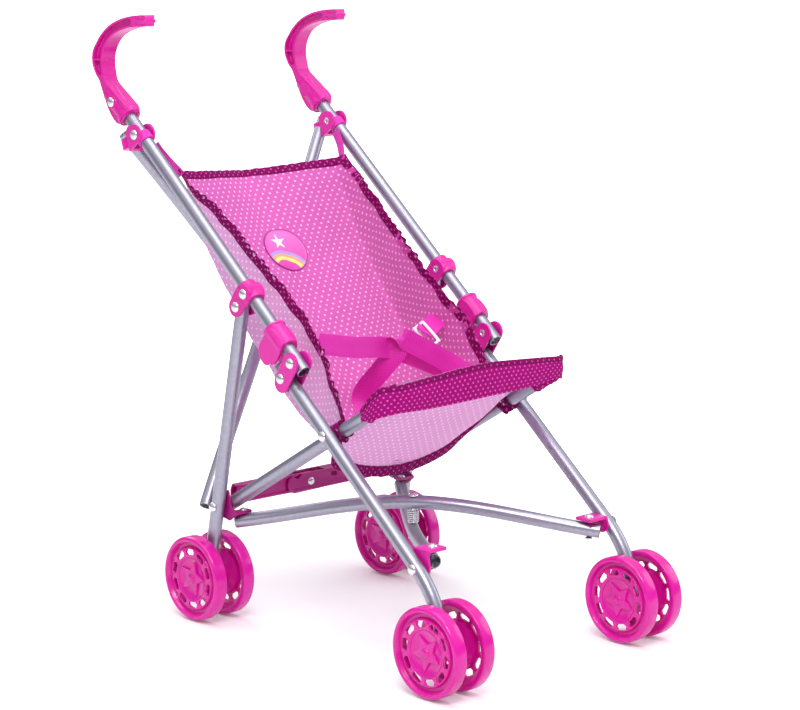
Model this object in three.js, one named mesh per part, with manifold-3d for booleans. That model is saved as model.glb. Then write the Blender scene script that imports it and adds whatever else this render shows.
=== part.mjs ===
// A folding doll stroller, in millimetres. It faces -Y and stands on Z = 0. Left is -X and right is +X, as seen from the front.
import * as THREE from "three";
import { mergeVertices } from "three/addons/utils/BufferGeometryUtils.js";
import Module from "manifold-3d";

const wasm = await Module();
wasm.setup();

const group = new THREE.Group();
const at = (x, y, z) => new THREE.Vector3(x, y, z);
const AXIS_X = at(1, 0, 0);

// Shared sizes.
const SIDE_X = -118; // plane of the left handle tube and legs
const LINK_X = -102.8; // plane of the left seat link
const PLATE = [-111.45, -109.35]; // the left brackets' plates, between leg and link
const TUBE_R = 6.25;
const BORE_R = 5.35;
const FIT = 0.3; // gap between neighbouring pieces
const PIN_R = 2;
const HOLE_R = PIN_R + FIT;
const CHEEK_IN = 6.6; // half the space between two plastic cheeks
const CHEEK_OUT = 9;
const WHEEL_R = 39;

// Directions along the handle (up and back) and across it (down and back).
const SLOPE = THREE.MathUtils.degToRad(40);
const UP = { y: Math.cos(SLOPE), z: Math.sin(SLOPE) };
const ACROSS = { y: Math.sin(SLOPE), z: -Math.cos(SLOPE) };

// Pivots in the side plane.
const FOLD = { y: -32.1, z: 255 };
const SADDLE_ALONG = 82.8;
const REAR_PIVOT = handlePoint(SADDLE_ALONG, 16.2);
const LINK_PIVOT = handlePoint(-67.5, 20);
const LINK_END = { y: 80.3, z: 106 };
const UPPER = handlePoint(285.8, 0);
const SCISSOR_FRONT = handlePoint(-216, 20);
const FRONT_HUB = { y: -216.9, z: WHEEL_R };
const REAR_HUB = { y: 93.9, z: WHEEL_R };
const LEG_OFFSET = 20; // the front leg runs this far behind the handle's axis

// A point `along` the handle from the fold pivot, and `across` from its axis.
function handlePoint(along, across) {
  return {
    y: -32.1 + along * UP.y + across * ACROSS.y,
    z: 255 + along * UP.z + across * ACROSS.z,
  };
}
const onSide = (point, x = SIDE_X) => at(x, point.y, point.z);
const onHandle = (along, across = 0, x = SIDE_X) => onSide(handlePoint(along, across), x);
// The point a part of the way from one side-plane point to another, and past it when over 1.
const between = (from, to, part) => ({
  y: from.y + (to.y - from.y) * part,
  z: from.z + (to.z - from.z) * part,
});
const distance = (from, to) => Math.hypot(to.y - from.y, to.z - from.z);
// The point that lies `length` from `from` in the direction of `to`.
const towards = (from, to, length) => between(from, to, length / distance(from, to));

// Materials.
const material = (color, roughness, metalness) =>
  new THREE.MeshStandardMaterial({ color, roughness, metalness });
const STEEL = material(0xc4c8d2, 0.35, 0.8);
const RIVET = material(0xe4e6ea, 0.2, 1);
const PLASTIC = material(0xe4379f, 0.35, 0);
const FABRIC = material(0xd8309a, 0.9, 0);
const HEM = material(0x86004f, 0.9, 0);
const WEBBING = material(0xe23aa5, 0.85, 0);
const WHITE = material(0xf2f2f2, 0.4, 0);

// Turns a closed three.js geometry into a solid that faces outwards.
function solid(geometry) {
  const loose = geometry.index ? geometry.toNonIndexed() : geometry;
  const bare = new THREE.BufferGeometry().setAttribute("position", loose.getAttribute("position"));
  const merged = mergeVertices(bare, 1e-4);
  const corners = merged.index.array;
  const kept = [];
  for (let i = 0; i < corners.length; i += 3) {
    const [a, b, c] = corners.slice(i, i + 3);
    if (a !== b && b !== c && c !== a) kept.push([a, b, c]);
  }
  const make = (triangles) =>
    new wasm.Manifold(
      new wasm.Mesh({
        numProp: 3,
        vertProperties: new Float32Array(merged.attributes.position.array),
        triVerts: new Uint32Array(triangles.flat()),
      }),
    );
  const made = make(kept);
  return made.volume() < 0 ? make(kept.map(([a, b, c]) => [a, c, b])) : made;
}

function geometryOf(made) {
  const mesh = made.getMesh();
  return new THREE.BufferGeometry()
    .setAttribute("position", new THREE.BufferAttribute(new Float32Array(mesh.vertProperties), 3))
    .setIndex(new THREE.BufferAttribute(new Uint32Array(mesh.triVerts), 1));
}

const join = (...pieces) => geometryOf(pieces.map(solid).reduce((all, next) => all.add(next)));
const cut = (body, ...tools) =>
  geometryOf(tools.map(solid).reduce((left, tool) => left.subtract(tool), solid(body)));

// A hollow round tube whose axis passes through the points.
function tube(points, outer = TUBE_R, inner = BORE_R, sides = 12, reference = AXIS_X) {
  const position = [];
  const last = points.length - 1;
  for (const radius of [outer, inner]) {
    points.forEach((point, i) => {
      const tangent = points[Math.min(i + 1, last)].clone().sub(points[Math.max(i - 1, 0)]);
      const first = reference.clone().cross(tangent).normalize();
      const second = tangent.clone().cross(first).normalize();
      for (let k = 0; k < sides; k++) {
        const turn = (2 * Math.PI * k) / sides;
        const spot = point.clone().addScaledVector(first, radius * Math.cos(turn));
        position.push(...spot.addScaledVector(second, radius * Math.sin(turn)));
      }
    });
  }
  const index = [];
  const quad = (a, b, c, d) => index.push(a, b, c, a, c, d);
  const vertex = (wall, ring, k) => (wall * points.length + ring) * sides + (k % sides);
  for (let k = 0; k < sides; k++) {
    for (let i = 0; i < last; i++) {
      quad(vertex(0, i, k), vertex(0, i, k + 1), vertex(0, i + 1, k + 1), vertex(0, i + 1, k));
      quad(vertex(1, i, k), vertex(1, i + 1, k), vertex(1, i + 1, k + 1), vertex(1, i, k + 1));
    }
    quad(vertex(0, 0, k), vertex(1, 0, k), vertex(1, 0, k + 1), vertex(0, 0, k + 1));
    quad(vertex(0, last, k), vertex(0, last, k + 1), vertex(1, last, k + 1), vertex(1, last, k));
  }
  return new THREE.BufferGeometry()
    .setAttribute("position", new THREE.Float32BufferAttribute(position, 3))
    .setIndex(index);
}

// Turns a geometry made along Y so that it runs from one point towards another.
function aim(geometry, from, to) {
  const direction = to.clone().sub(from).normalize();
  const turn = new THREE.Quaternion().setFromUnitVectors(at(0, 1, 0), direction);
  return geometry.applyQuaternion(turn).translate(from.x, from.y, from.z);
}

function rod(from, to, radius, sides = 12) {
  const length = from.distanceTo(to);
  const straight = new THREE.CylinderGeometry(radius, radius, length, sides);
  return aim(straight.translate(0, length / 2, 0), from, to);
}

// A rivet with a domed head at `from` and a small tail past `to`. Both points lie on the faces it holds.
function rivet(from, to, headRadius = 4.75, tailRadius = 3.25, shaft = PIN_R) {
  const length = from.distanceTo(to);
  const profile = [
    [0, -2.2],
    [headRadius * 0.6, -1.8],
    [headRadius * 0.93, -0.9],
    [headRadius, -0.05],
    [shaft, -0.05],
    [shaft, length + 0.05],
    [tailRadius, length + 0.05],
    [tailRadius * 0.9, length + 1.1],
    [0, length + 1.3],
  ];
  const points = profile.map(([radius, height]) => new THREE.Vector2(radius, height));
  return aim(new THREE.LatheGeometry(points, 12), from, to);
}

// A plate whose outline lies in the side plane, from x = `left` to x = `right`.
function plate(outline, left, right) {
  const shape = new THREE.Shape(outline.map(({ y, z }) => new THREE.Vector2(y, z)));
  const flat = new THREE.ExtrudeGeometry(shape, { depth: right - left, bevelEnabled: false });
  const basis = new THREE.Matrix4().makeBasis(at(0, 1, 0), at(0, 0, 1), at(1, 0, 0));
  return flat.applyMatrix4(basis).translate(left, 0, 0);
}

// The outline of a band that joins two round ends.
function oblong(from, to, radiusFrom, radiusTo, steps = 9) {
  const heading = Math.atan2(to.z - from.z, to.y - from.y);
  const arc = (centre, radius, start) =>
    Array.from({ length: steps + 1 }, (_, i) => {
      const turn = start + (Math.PI * i) / steps;
      return { y: centre.y + radius * Math.cos(turn), z: centre.z + radius * Math.sin(turn) };
    });
  const quarter = Math.PI / 2;
  return [...arc(to, radiusTo, heading - quarter), ...arc(from, radiusFrom, heading + quarter)];
}

// A box given by two opposite corners.
function block(from, to) {
  const size = to.clone().sub(from);
  const middle = from.clone().add(to).multiplyScalar(0.5);
  return new THREE.BoxGeometry(Math.abs(size.x), Math.abs(size.y), Math.abs(size.z)).translate(
    ...middle,
  );
}

// A thin closed sheet over a grid of points.
function sheet(grid, thickness = 1) {
  const rows = grid.length;
  const columns = grid[0].length;
  const position = [];
  for (const side of [0.5, -0.5]) {
    grid.forEach((row, r) =>
      row.forEach((point, c) => {
        const down = grid[Math.min(r + 1, rows - 1)][c].clone().sub(grid[Math.max(r - 1, 0)][c]);
        const over = row[Math.min(c + 1, columns - 1)].clone().sub(row[Math.max(c - 1, 0)]);
        const normal = over.cross(down).normalize();
        position.push(...point.clone().addScaledVector(normal, side * thickness));
      }),
    );
  }
  const index = [];
  const vertex = (side, r, c) => (side * rows + r) * columns + c;
  const quad = (a, b, c, d) => index.push(a, b, c, a, c, d);
  for (let r = 0; r < rows - 1; r++)
    for (let c = 0; c < columns - 1; c++) {
      quad(vertex(0, r, c), vertex(0, r + 1, c), vertex(0, r + 1, c + 1), vertex(0, r, c + 1));
      quad(vertex(1, r, c), vertex(1, r, c + 1), vertex(1, r + 1, c + 1), vertex(1, r + 1, c));
    }
  for (let r = 0; r < rows - 1; r++) {
    quad(vertex(0, r, 0), vertex(1, r, 0), vertex(1, r + 1, 0), vertex(0, r + 1, 0));
    const c = columns - 1;
    quad(vertex(0, r, c), vertex(0, r + 1, c), vertex(1, r + 1, c), vertex(1, r, c));
  }
  for (let c = 0; c < columns - 1; c++) {
    quad(vertex(0, 0, c), vertex(0, 0, c + 1), vertex(1, 0, c + 1), vertex(1, 0, c));
    const r = rows - 1;
    quad(vertex(0, r, c), vertex(1, r, c), vertex(1, r, c + 1), vertex(0, r, c + 1));
  }
  return new THREE.BufferGeometry()
    .setAttribute("position", new THREE.Float32BufferAttribute(position, 3))
    .setIndex(index);
}

// Spaces a smooth curve through the points.
const smooth = (points, count) => new THREE.CatmullRomCurve3(points).getPoints(count - 1);

function named(name, geometry, look, parent = group) {
  const mesh = new THREE.Mesh(geometryOf(solid(geometry)), look);
  mesh.geometry.computeVertexNormals();
  mesh.name = name;
  parent.add(mesh);
}

const crossHole = (point, radius = HOLE_R) =>
  rod(onSide(point, SIDE_X - 20), onSide(point, LINK_X + 20), radius, 8);

// Handle tube: straight, open at its lower end.
function handleTube() {
  const body = tube([onHandle(-11.5), onHandle(345)]);
  return cut(body, crossHole(FOLD), crossHole(UPPER));
}

// Hooked grip over the handle tube's upper end.
function handleGrip() {
  const outline = [
    handlePoint(309, 9),
    handlePoint(328, 10.5),
    { y: 241.8, z: 480.3 },
    { y: 255.5, z: 503.7 },
    { y: 246, z: 524 },
    { y: 219.8, z: 537.4 },
    { y: 190, z: 543.6 },
    { y: 163.4, z: 547.7 },
    { y: 159.3, z: 542.2 },
    { y: 163.7, z: 536.2 },
    { y: 196.9, z: 530.9 },
    { y: 219, z: 521 },
    { y: 231, z: 510 },
    { y: 232.7, z: 498 },
    { y: 226, z: 482 },
    { y: 212, z: 471.5 },
    { y: 198, z: 472 },
    { y: 190, z: 467.5 },
    handlePoint(309, -9),
  ];
  const curve = new THREE.CatmullRomCurve3(
    outline.map(({ y, z }) => at(0, y, z)),
    true,
  );
  const smoothOutline = curve.getPoints(44).slice(0, -1);
  const hook = plate(smoothOutline, SIDE_X - 8, SIDE_X + 8);
  const socket = rod(onHandle(308), onHandle(342), 9.8, 20);
  const collar = rod(onHandle(308), onHandle(312), 10.8, 20);
  const channelOutline = [
    { y: 234, z: 484 },
    { y: 247.5, z: 503 },
    { y: 240, z: 519 },
    { y: 217, z: 531 },
    { y: 190, z: 538.5 },
    { y: 190, z: 537 },
    { y: 217, z: 528 },
    { y: 234, z: 514 },
    { y: 239.5, z: 502 },
    { y: 232, z: 487 },
  ];
  const channel = [-1, 1].map((way) => {
    const inner = SIDE_X + way * 5.5;
    const outer = SIDE_X + way * 12;
    return plate(channelOutline, Math.min(inner, outer), Math.max(inner, outer));
  });
  const rivetHead = rivet(onHandle(329.4, 0, SIDE_X - 9.3), onHandle(329.4, 0, SIDE_X - 7), 4.75, 1);
  const whole = join(hook, socket, collar, rivetHead);
  return cut(whole, rod(onHandle(280), onHandle(346), TUBE_R + FIT), ...channel);
}

// Saddle over the handle tube. The rear leg turns between its cheeks.
function rearLegSaddle() {
  const body = plate(
    oblong(handlePoint(SADDLE_ALONG, 0.5), REAR_PIVOT, 10, 9),
    SIDE_X - CHEEK_OUT,
    SIDE_X + CHEEK_OUT,
  );
  const slot = plate(
    [handlePoint(60, 3), handlePoint(110, 3), handlePoint(110, 40), handlePoint(60, 40)],
    SIDE_X - CHEEK_IN,
    SIDE_X + CHEEK_IN,
  );
  const face = SIDE_X - CHEEK_OUT;
  const head = rivet(onHandle(SADDLE_ALONG, -0.5, face), onHandle(SADDLE_ALONG, -0.5, face + 1), 4.75, 1);
  const tubeSpace = rod(onHandle(50), onHandle(120), TUBE_R + FIT);
  return join(cut(body, slot, tubeSpace, crossHole(REAR_PIVOT)), head);
}

// Lock sleeve: a ring that slides on the handle tube, with cheeks that reach down beside the leg's stub.
function lockSleeve() {
  const ring = rod(onHandle(17), onHandle(41), 10, 20);
  const lip = rod(onHandle(38.5), onHandle(41), 10.8, 20);
  const outline = [
    handlePoint(20, -6),
    handlePoint(14, 4),
    handlePoint(14, 17),
    handlePoint(19, 20),
    handlePoint(19.5, 23.5),
    handlePoint(24, 26),
    handlePoint(33, 24),
    handlePoint(38, 17),
    handlePoint(39, 0),
    handlePoint(36, -6),
  ];
  const skirt = plate(outline, SIDE_X - 9.6, SIDE_X + 9.6);
  const slot = plate(
    [handlePoint(5, 0), handlePoint(60, 0), handlePoint(60, 40), handlePoint(5, 40)],
    SIDE_X - 7,
    SIDE_X + 7,
  );
  const space = rod(onHandle(0), onHandle(60), TUBE_R + FIT);
  return cut(join(cut(skirt, slot), ring, lip), space);
}

// Knuckle clip: holds the front leg, and the handle turns between its cheeks.
function knuckleClip() {
  const leg = handlePoint(0, LEG_OFFSET);
  const face = SIDE_X - CHEEK_OUT;
  const body = plate(oblong(FOLD, handlePoint(-3, LEG_OFFSET + 2), 9.5, 9), face, SIDE_X + CHEEK_OUT);
  const slot = plate(
    [handlePoint(-30, -20), handlePoint(30, -20), handlePoint(30, 20), handlePoint(-30, 20)],
    SIDE_X - CHEEK_IN,
    SIDE_X + CHEEK_IN,
  );
  const legSpace = rod(onHandle(-40, LEG_OFFSET), onHandle(40, LEG_OFFSET), TUBE_R + FIT);
  const pin = rivet(onSide(leg, face), onSide(leg, SIDE_X + CHEEK_OUT));
  return join(cut(body, slot, legSpace, crossHole(FOLD)), pin);
}

const cheekRivet = (point) =>
  rivet(onSide(point, SIDE_X - CHEEK_OUT), onSide(point, SIDE_X + CHEEK_OUT));

// Front leg: straight behind the handle's line, then bent down to the axle.
function frontLeg() {
  const bendRadius = 91;
  const bend = THREE.MathUtils.degToRad(45);
  const points = [onHandle(14, LEG_OFFSET), onHandle(-216, LEG_OFFSET)];
  const steps = 6;
  for (let i = 1; i <= steps; i++) {
    const turn = (bend * i) / steps;
    const along = -216 - bendRadius * Math.sin(turn);
    points.push(onHandle(along, LEG_OFFSET + bendRadius * (1 - Math.cos(turn))));
  }
  const end = points[points.length - 1];
  const heading = end.clone().sub(points[points.length - 2]).normalize();
  points.push(end.clone().addScaledVector(heading, 8));
  const holes = [handlePoint(0, LEG_OFFSET), LINK_PIVOT, SCISSOR_FRONT, FRONT_HUB];
  return cut(tube(points), ...holes.map((hole) => crossHole(hole, HOLE_R + 0.25)));
}

// Rear leg: straight, with a short stub above its pivot.
function rearLeg() {
  const top = towards(REAR_PIVOT, REAR_HUB, -6);
  const foot = towards(REAR_HUB, REAR_PIVOT, -8);
  const body = tube([onSide(top), onSide(foot)]);
  const holes = [REAR_PIVOT, LINK_END, REAR_HUB].map((hole) => crossHole(hole, HOLE_R + 0.25));
  return cut(body, ...holes);
}

// Seat link: a tube inboard of the legs that carries the seat's front sides.
function seatLink() {
  const front = towards(LINK_PIVOT, LINK_END, -68);
  const rear = towards(LINK_END, LINK_PIVOT, -6);
  return cut(tube([onSide(front, LINK_X), onSide(rear, LINK_X)]), crossHole(LINK_PIVOT));
}

// A smooth oblong slot through a wheel's web.
function wheelSlot(turn) {
  const shape = new THREE.Shape();
  const [low, high, half] = [22.2, 26.8, 0.165];
  shape.absarc(0, 0, high, -half, half, false);
  shape.absarc(0, 0, low, half, -half, true);
  shape.closePath();
  const through = new THREE.ExtrudeGeometry(shape, {
    depth: 30,
    bevelEnabled: false,
    curveSegments: 1,
  });
  return through.rotateZ(turn).translate(0, 0, -15).rotateY(Math.PI / 2);
}

// A wheel about the X axis. Its outer face looks towards `facing` (-1 or 1).
function wheel(centre, facing) {
  const profile = [
    [2.55, -6],
    [6.5, -6],
    [6.5, -1.6],
    [33.2, -1.6],
    [33.6, -6.45],
    [WHEEL_R, -6.3],
    [WHEEL_R, 4.4],
    [36.6, 6.45],
    [34.4, 6],
    [33, 1.2],
    [29.2, 1.2],
    [28.6, 4.6],
    [20.6, 4.6],
    [7.4, 1.9],
    [6.2, 4.2],
    [2.55, 4.2],
    [2.55, -6],
  ];
  const points = profile.map(([radius, height]) => new THREE.Vector2(radius, height));
  const turned = new THREE.LatheGeometry(points, 24).rotateZ(-Math.PI / 2);
  const slots = Array.from({ length: 10 }, (_, i) => wheelSlot((2 * Math.PI * i) / 10));
  const body = cut(turned, ...slots);
  if (facing < 0) body.rotateY(Math.PI);
  return body.translate(centre.x, centre.y, centre.z);
}

// Axle through a leg's end and its two wheels, with a round button at each end.
function axle(hub) {
  const outer = SIDE_X - 16.55 - 4.4;
  const inner = SIDE_X + 16.55 + 4.4;
  return rivet(onSide(hub, outer), onSide(hub, inner), 4.6, 4, 2.25);
}

// Bracket that turns on the handle and holds a back brace's upper end.
const BRACE_FOOT = { y: 95.2, z: 109 };
const BRACE_STAND_OFF = 19;
const braceHeading = towards({ y: 0, z: 0 }, { y: UPPER.y + 18 - BRACE_FOOT.y, z: UPPER.z - 6 - BRACE_FOOT.z }, 1);
const braceNormal = { y: braceHeading.z, z: -braceHeading.y };
const bracePoint = (up, out) => ({
  y: UPPER.y + up * braceHeading.y + out * braceNormal.y,
  z: UPPER.z + up * braceHeading.z + out * braceNormal.z,
});
const BRACE_TOP = bracePoint(0, BRACE_STAND_OFF);

function upperBracket() {
  const left = SIDE_X - CHEEK_OUT;
  const right = SIDE_X + CHEEK_OUT;
  const outline = [
    ...oblong(UPPER, bracePoint(-4, 5), 9.6, 9.6, 7).slice(8),
    bracePoint(-13, 12),
    bracePoint(6, 12),
    bracePoint(9.6, 7),
    bracePoint(9.6, 0),
  ];
  const slot = plate(
    [
      bracePoint(-40, -40),
      bracePoint(-40, 7.3),
      bracePoint(-3, 7.3),
      bracePoint(40, 33),
      bracePoint(40, -40),
    ],
    SIDE_X - CHEEK_IN,
    SIDE_X + CHEEK_IN,
  );
  const bolt = rivet(
    onSide(bracePoint(0, BRACE_STAND_OFF + TUBE_R + 0.2)),
    onSide(bracePoint(0, 11)),
    4.2,
    PIN_R,
  );
  return join(cut(plate(outline, left, right), slot), cheekRivet(UPPER), bolt);
}

// Back brace: from one side's upper bracket to the other side's rear leg, bowed by `bow` at its middle.
function backBrace(bow) {
  const top = onSide(BRACE_TOP);
  const foot = onSide(BRACE_FOOT, -SIDE_X);
  const count = 7;
  const reach = top.distanceTo(foot);
  const points = Array.from({ length: count }, (_, i) => {
    const part = -8 / reach + ((1 + 14 / reach) * i) / (count - 1);
    const spot = top.clone().lerp(foot, part);
    const swell = bow * Math.sin(Math.PI * THREE.MathUtils.clamp(part, 0, 1)) ** 2;
    return spot.add(at(0, swell * braceNormal.y, swell * braceNormal.z));
  });
  const drill = (point, x) =>
    rod(
      at(x, point.y - 20 * braceNormal.y, point.z - 20 * braceNormal.z),
      at(x, point.y + 20 * braceNormal.y, point.z + 20 * braceNormal.z),
      HOLE_R,
      8,
    );
  return cut(tube(points), drill(BRACE_TOP, SIDE_X));
}

// A vertical bolt with its head on top.
const bolt = (x, y, high, low, head = 4.4) => rivet(at(x, y, high), at(x, y, low), head, 3.2);

// Where each scissor tube's ends and middle lie, as seen on the left. The left tube sags and the right one arches.
const SCISSOR_PIVOT = { x: -97, y: -181 };
const SCISSORS = {
  left: { front: 105.5, flange: 112.8, low: 96.8, middle: 89, rear: 93 },
  right: { front: 95.5, flange: 105.4, low: 89, middle: 115.4, rear: 91 },
};
const SCISSOR_END = at(-103, -189, 0);
const SCISSOR_MIDDLE = at(0, -54.5, 0);
const SCISSOR_REAR = at(103, 73, 0);

// Bracket that turns on the front leg. The scissor tube's end lies under its flange.
function scissorBracket(name) {
  const flangeLow = SCISSORS[name].flange;
  const flangeHigh = flangeLow + 3;
  const outline = [
    ...oblong(SCISSOR_FRONT, { y: SCISSOR_FRONT.y + 4, z: SCISSOR_FRONT.z }, 8, 8, 6),
    { y: SCISSOR_PIVOT.y - 9, z: flangeLow },
    { y: SCISSOR_PIVOT.y - 9, z: flangeHigh },
    { y: SCISSOR_PIVOT.y + 9, z: flangeHigh },
    { y: SCISSOR_PIVOT.y + 9, z: flangeLow },
  ];
  const corners = hull(outline);
  const flange = block(
    at(PLATE[1] - 1, SCISSOR_PIVOT.y - 9, flangeLow),
    at(SCISSOR_PIVOT.x + 8, SCISSOR_PIVOT.y + 9, flangeHigh),
  );
  const pivot = rivet(onSide(SCISSOR_FRONT, SIDE_X - TUBE_R - 0.1), onSide(SCISSOR_FRONT, PLATE[1] - 0.5));
  const upright = bolt(SCISSOR_PIVOT.x, SCISSOR_PIVOT.y, flangeHigh, SCISSORS[name].low);
  return join(plate(corners, ...PLATE), flange, pivot, upright);
}

// The outline round a set of points in the side plane.
function hull(points) {
  const sorted = [...points].sort((a, b) => a.y - b.y || a.z - b.z);
  const turn = (a, b, c) => (b.y - a.y) * (c.z - a.z) - (b.z - a.z) * (c.y - a.y);
  const chain = (list) => {
    const kept = [];
    for (const point of list) {
      while (kept.length > 1 && turn(kept[kept.length - 2], kept[kept.length - 1], point) <= 0) kept.pop();
      kept.push(point);
    }
    return kept.slice(0, -1);
  };
  return [...chain(sorted), ...chain(sorted.reverse())];
}

// Scissor tube from the left front bracket to the right rear one.
function scissorTube(name) {
  const { front, middle, rear } = SCISSORS[name];
  const raised = (point, z) => at(point.x, point.y, z);
  const path = [raised(SCISSOR_END, front), raised(SCISSOR_MIDDLE, middle), raised(SCISSOR_REAR, rear)];
  const drill = (x, y) => rod(at(x, y, 60), at(x, y, 140), HOLE_R + 0.3, 8);
  const holes = [drill(SCISSOR_PIVOT.x, SCISSOR_PIVOT.y), drill(0, SCISSOR_MIDDLE.y)];
  return cut(tube(smooth(path, 9), TUBE_R, BORE_R, 12, at(0, 0, 1)), ...holes);
}

// Bracket on the rear leg's inner side: a plate, a shelf over the scissor tube's end and an arm for the lock brace.
const SHELF_LOW = SCISSORS.left.rear + TUBE_R + FIT + 0.1;
const SHELF_THICK = 2.2;
function lowerBracket() {
  const outline = [
    { y: 62.5, z: SHELF_LOW },
    { y: 72, z: 93 },
    { y: 95, z: 97 },
    { y: 95, z: 104.5 },
    { y: 88, z: 106 },
    { y: 82, z: 115.5 },
    { y: 75, z: 117 },
    { y: 70, z: 106 },
    { y: 62.5, z: SHELF_LOW + SHELF_THICK },
  ];
  const shelf = block(at(PLATE[1] - 1, 62.5, SHELF_LOW), at(-92.5, 84, SHELF_LOW + SHELF_THICK));
  const link = { y: LINK_END.y, z: LINK_END.z };
  const room = rod(onSide(link, PLATE[1]), onSide(link, -80), 10.2, 16);
  const arm = block(at(PLATE[1] - 1, 91.3, 98), at(-93.5, 95, 105));
  const head = rivet(at(-99, 67, SHELF_LOW + SHELF_THICK), at(-99, 67, SHELF_LOW + 1), 3.5, PIN_R);
  const pivot = rivet(onSide(LINK_END, SIDE_X - TUBE_R - 0.1), onSide(LINK_END, PLATE[1] - 1.6), 4.75, PIN_R);
  return join(plate(outline, ...PLATE), cut(shelf, room), arm, head, pivot);
}

// One half of the folding lock brace: a channel that opens downwards.
const BRACE_Y = 88;
const LOCK_Z = 112;
function lockBrace(start, end, halfWidth, webEnd) {
  const direction = Math.sign(end - start);
  const height = 9;
  const outline = [
    { y: start + direction * 2, z: LOCK_Z - height + 2 },
    { y: end - direction * 8, z: LOCK_Z - height },
    { y: end - direction * 2, z: LOCK_Z - 6 },
    { y: end, z: LOCK_Z },
    { y: end - direction * 2, z: LOCK_Z + 6 },
    { y: end - direction * 8, z: LOCK_Z + height },
    { y: start + direction * 2, z: LOCK_Z + height },
    { y: start, z: LOCK_Z + 4 },
    { y: start, z: LOCK_Z - 4 },
  ];
  const shape = new THREE.Shape(outline.map(({ y, z }) => new THREE.Vector2(y, z)));
  const long = new THREE.ExtrudeGeometry(shape, { depth: 2 * halfWidth, bevelEnabled: false });
  long.rotateX(Math.PI / 2).translate(0, BRACE_Y + halfWidth, 0);
  const inside = block(
    at(start - direction * 9, BRACE_Y - halfWidth + 1.8, LOCK_Z - 30),
    at(end + direction * 9, BRACE_Y + halfWidth - 1.8, LOCK_Z + height - 1.8),
  );
  const open = block(
    at(webEnd, BRACE_Y - halfWidth + 1.8, LOCK_Z),
    at(end + direction * 9, BRACE_Y + halfWidth - 1.8, LOCK_Z + 30),
  );
  return cut(long, inside, open);
}

// Cloth: the left half of the seat. Rows run from top to bottom, columns from the side to the middle.
const MIDDLE_GAP = -0.3;
function seatRow(hem, bulge, middle) {
  const corner = at(bulge[0], bulge[1], bulge[2]);
  const start = at(hem[0], hem[1], hem[2]);
  const end = at(MIDDLE_GAP, middle[0], middle[1]);
  const wing = [0, 0.35, 0.7].map((part) => start.clone().lerp(corner, part));
  const floor = [0.06, 0.25, 0.5, 0.75, 1].map((part) => corner.clone().lerp(end, part));
  return [...wing, ...floor];
}
function seatBack() {
  const grid = [
    seatRow([-103, 154, 407], [-92, 161, 405], [186, 398]),
    seatRow([-95, 99, 371], [-93, 131, 346], [147, 353]),
    seatRow([-90, 60, 340], [-92, 100, 302], [113, 313]),
    seatRow([-87, 22, 311], [-91, 68, 263], [75, 268]),
    seatRow([-88, -12, 284], [-89, 33, 226], [37, 225]),
    seatRow([-90, -32, 266], [-86, 0, 195], [0, 183]),
    seatRow([-94, -58, 224], [-82, -33, 173], [-33, 148]),
  ];
  return sheet(grid);
}
function seatBase() {
  const row = (...points) => points.map(([x, y, z]) => at(x, y, z));
  const grid = [
    row([-95.8, -69, 203], [-82, -38, 170], [-60, -37, 157], [-30, -36, 149], [MIDDLE_GAP, -36, 146]),
    row([-95.8, -82, 212], [-84, -61, 184], [-60, -58, 175], [-30, -57, 169], [MIDDLE_GAP, -57, 167]),
    row([-97, -100, 225], [-87, -88, 210], [-60, -85, 203], [-30, -84, 199], [MIDDLE_GAP, -84, 198]),
    row([-100, -118, 237], [-90, -114, 234], [-60, -112, 230], [-30, -111, 229], [MIDDLE_GAP, -111, 228]),
    row([-104, -135, 246.5], [-90, -137, 249], [-60, -138, 252], [-30, -138, 255], [MIDDLE_GAP, -138, 256]),
    row([-104, -140.5, 231], [-90, -141, 232], [-60, -141, 234], [-30, -142, 236], [MIDDLE_GAP, -142, 237]),
    row([-102, -127, 215], [-90, -118, 213], [-60, -114, 213], [-30, -113, 214], [MIDDLE_GAP, -112, 215]),
  ];
  return sheet(grid);
}

// A flat ribbon of webbing along the points. `wide` is the direction across it.
function ribbon(points, wide, width, thickness = 1.2) {
  const half = wide.clone().multiplyScalar(width / 2);
  return sheet(
    points.map((point) => [point.clone().sub(half), point.clone().add(half)]),
    thickness,
  );
}

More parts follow.
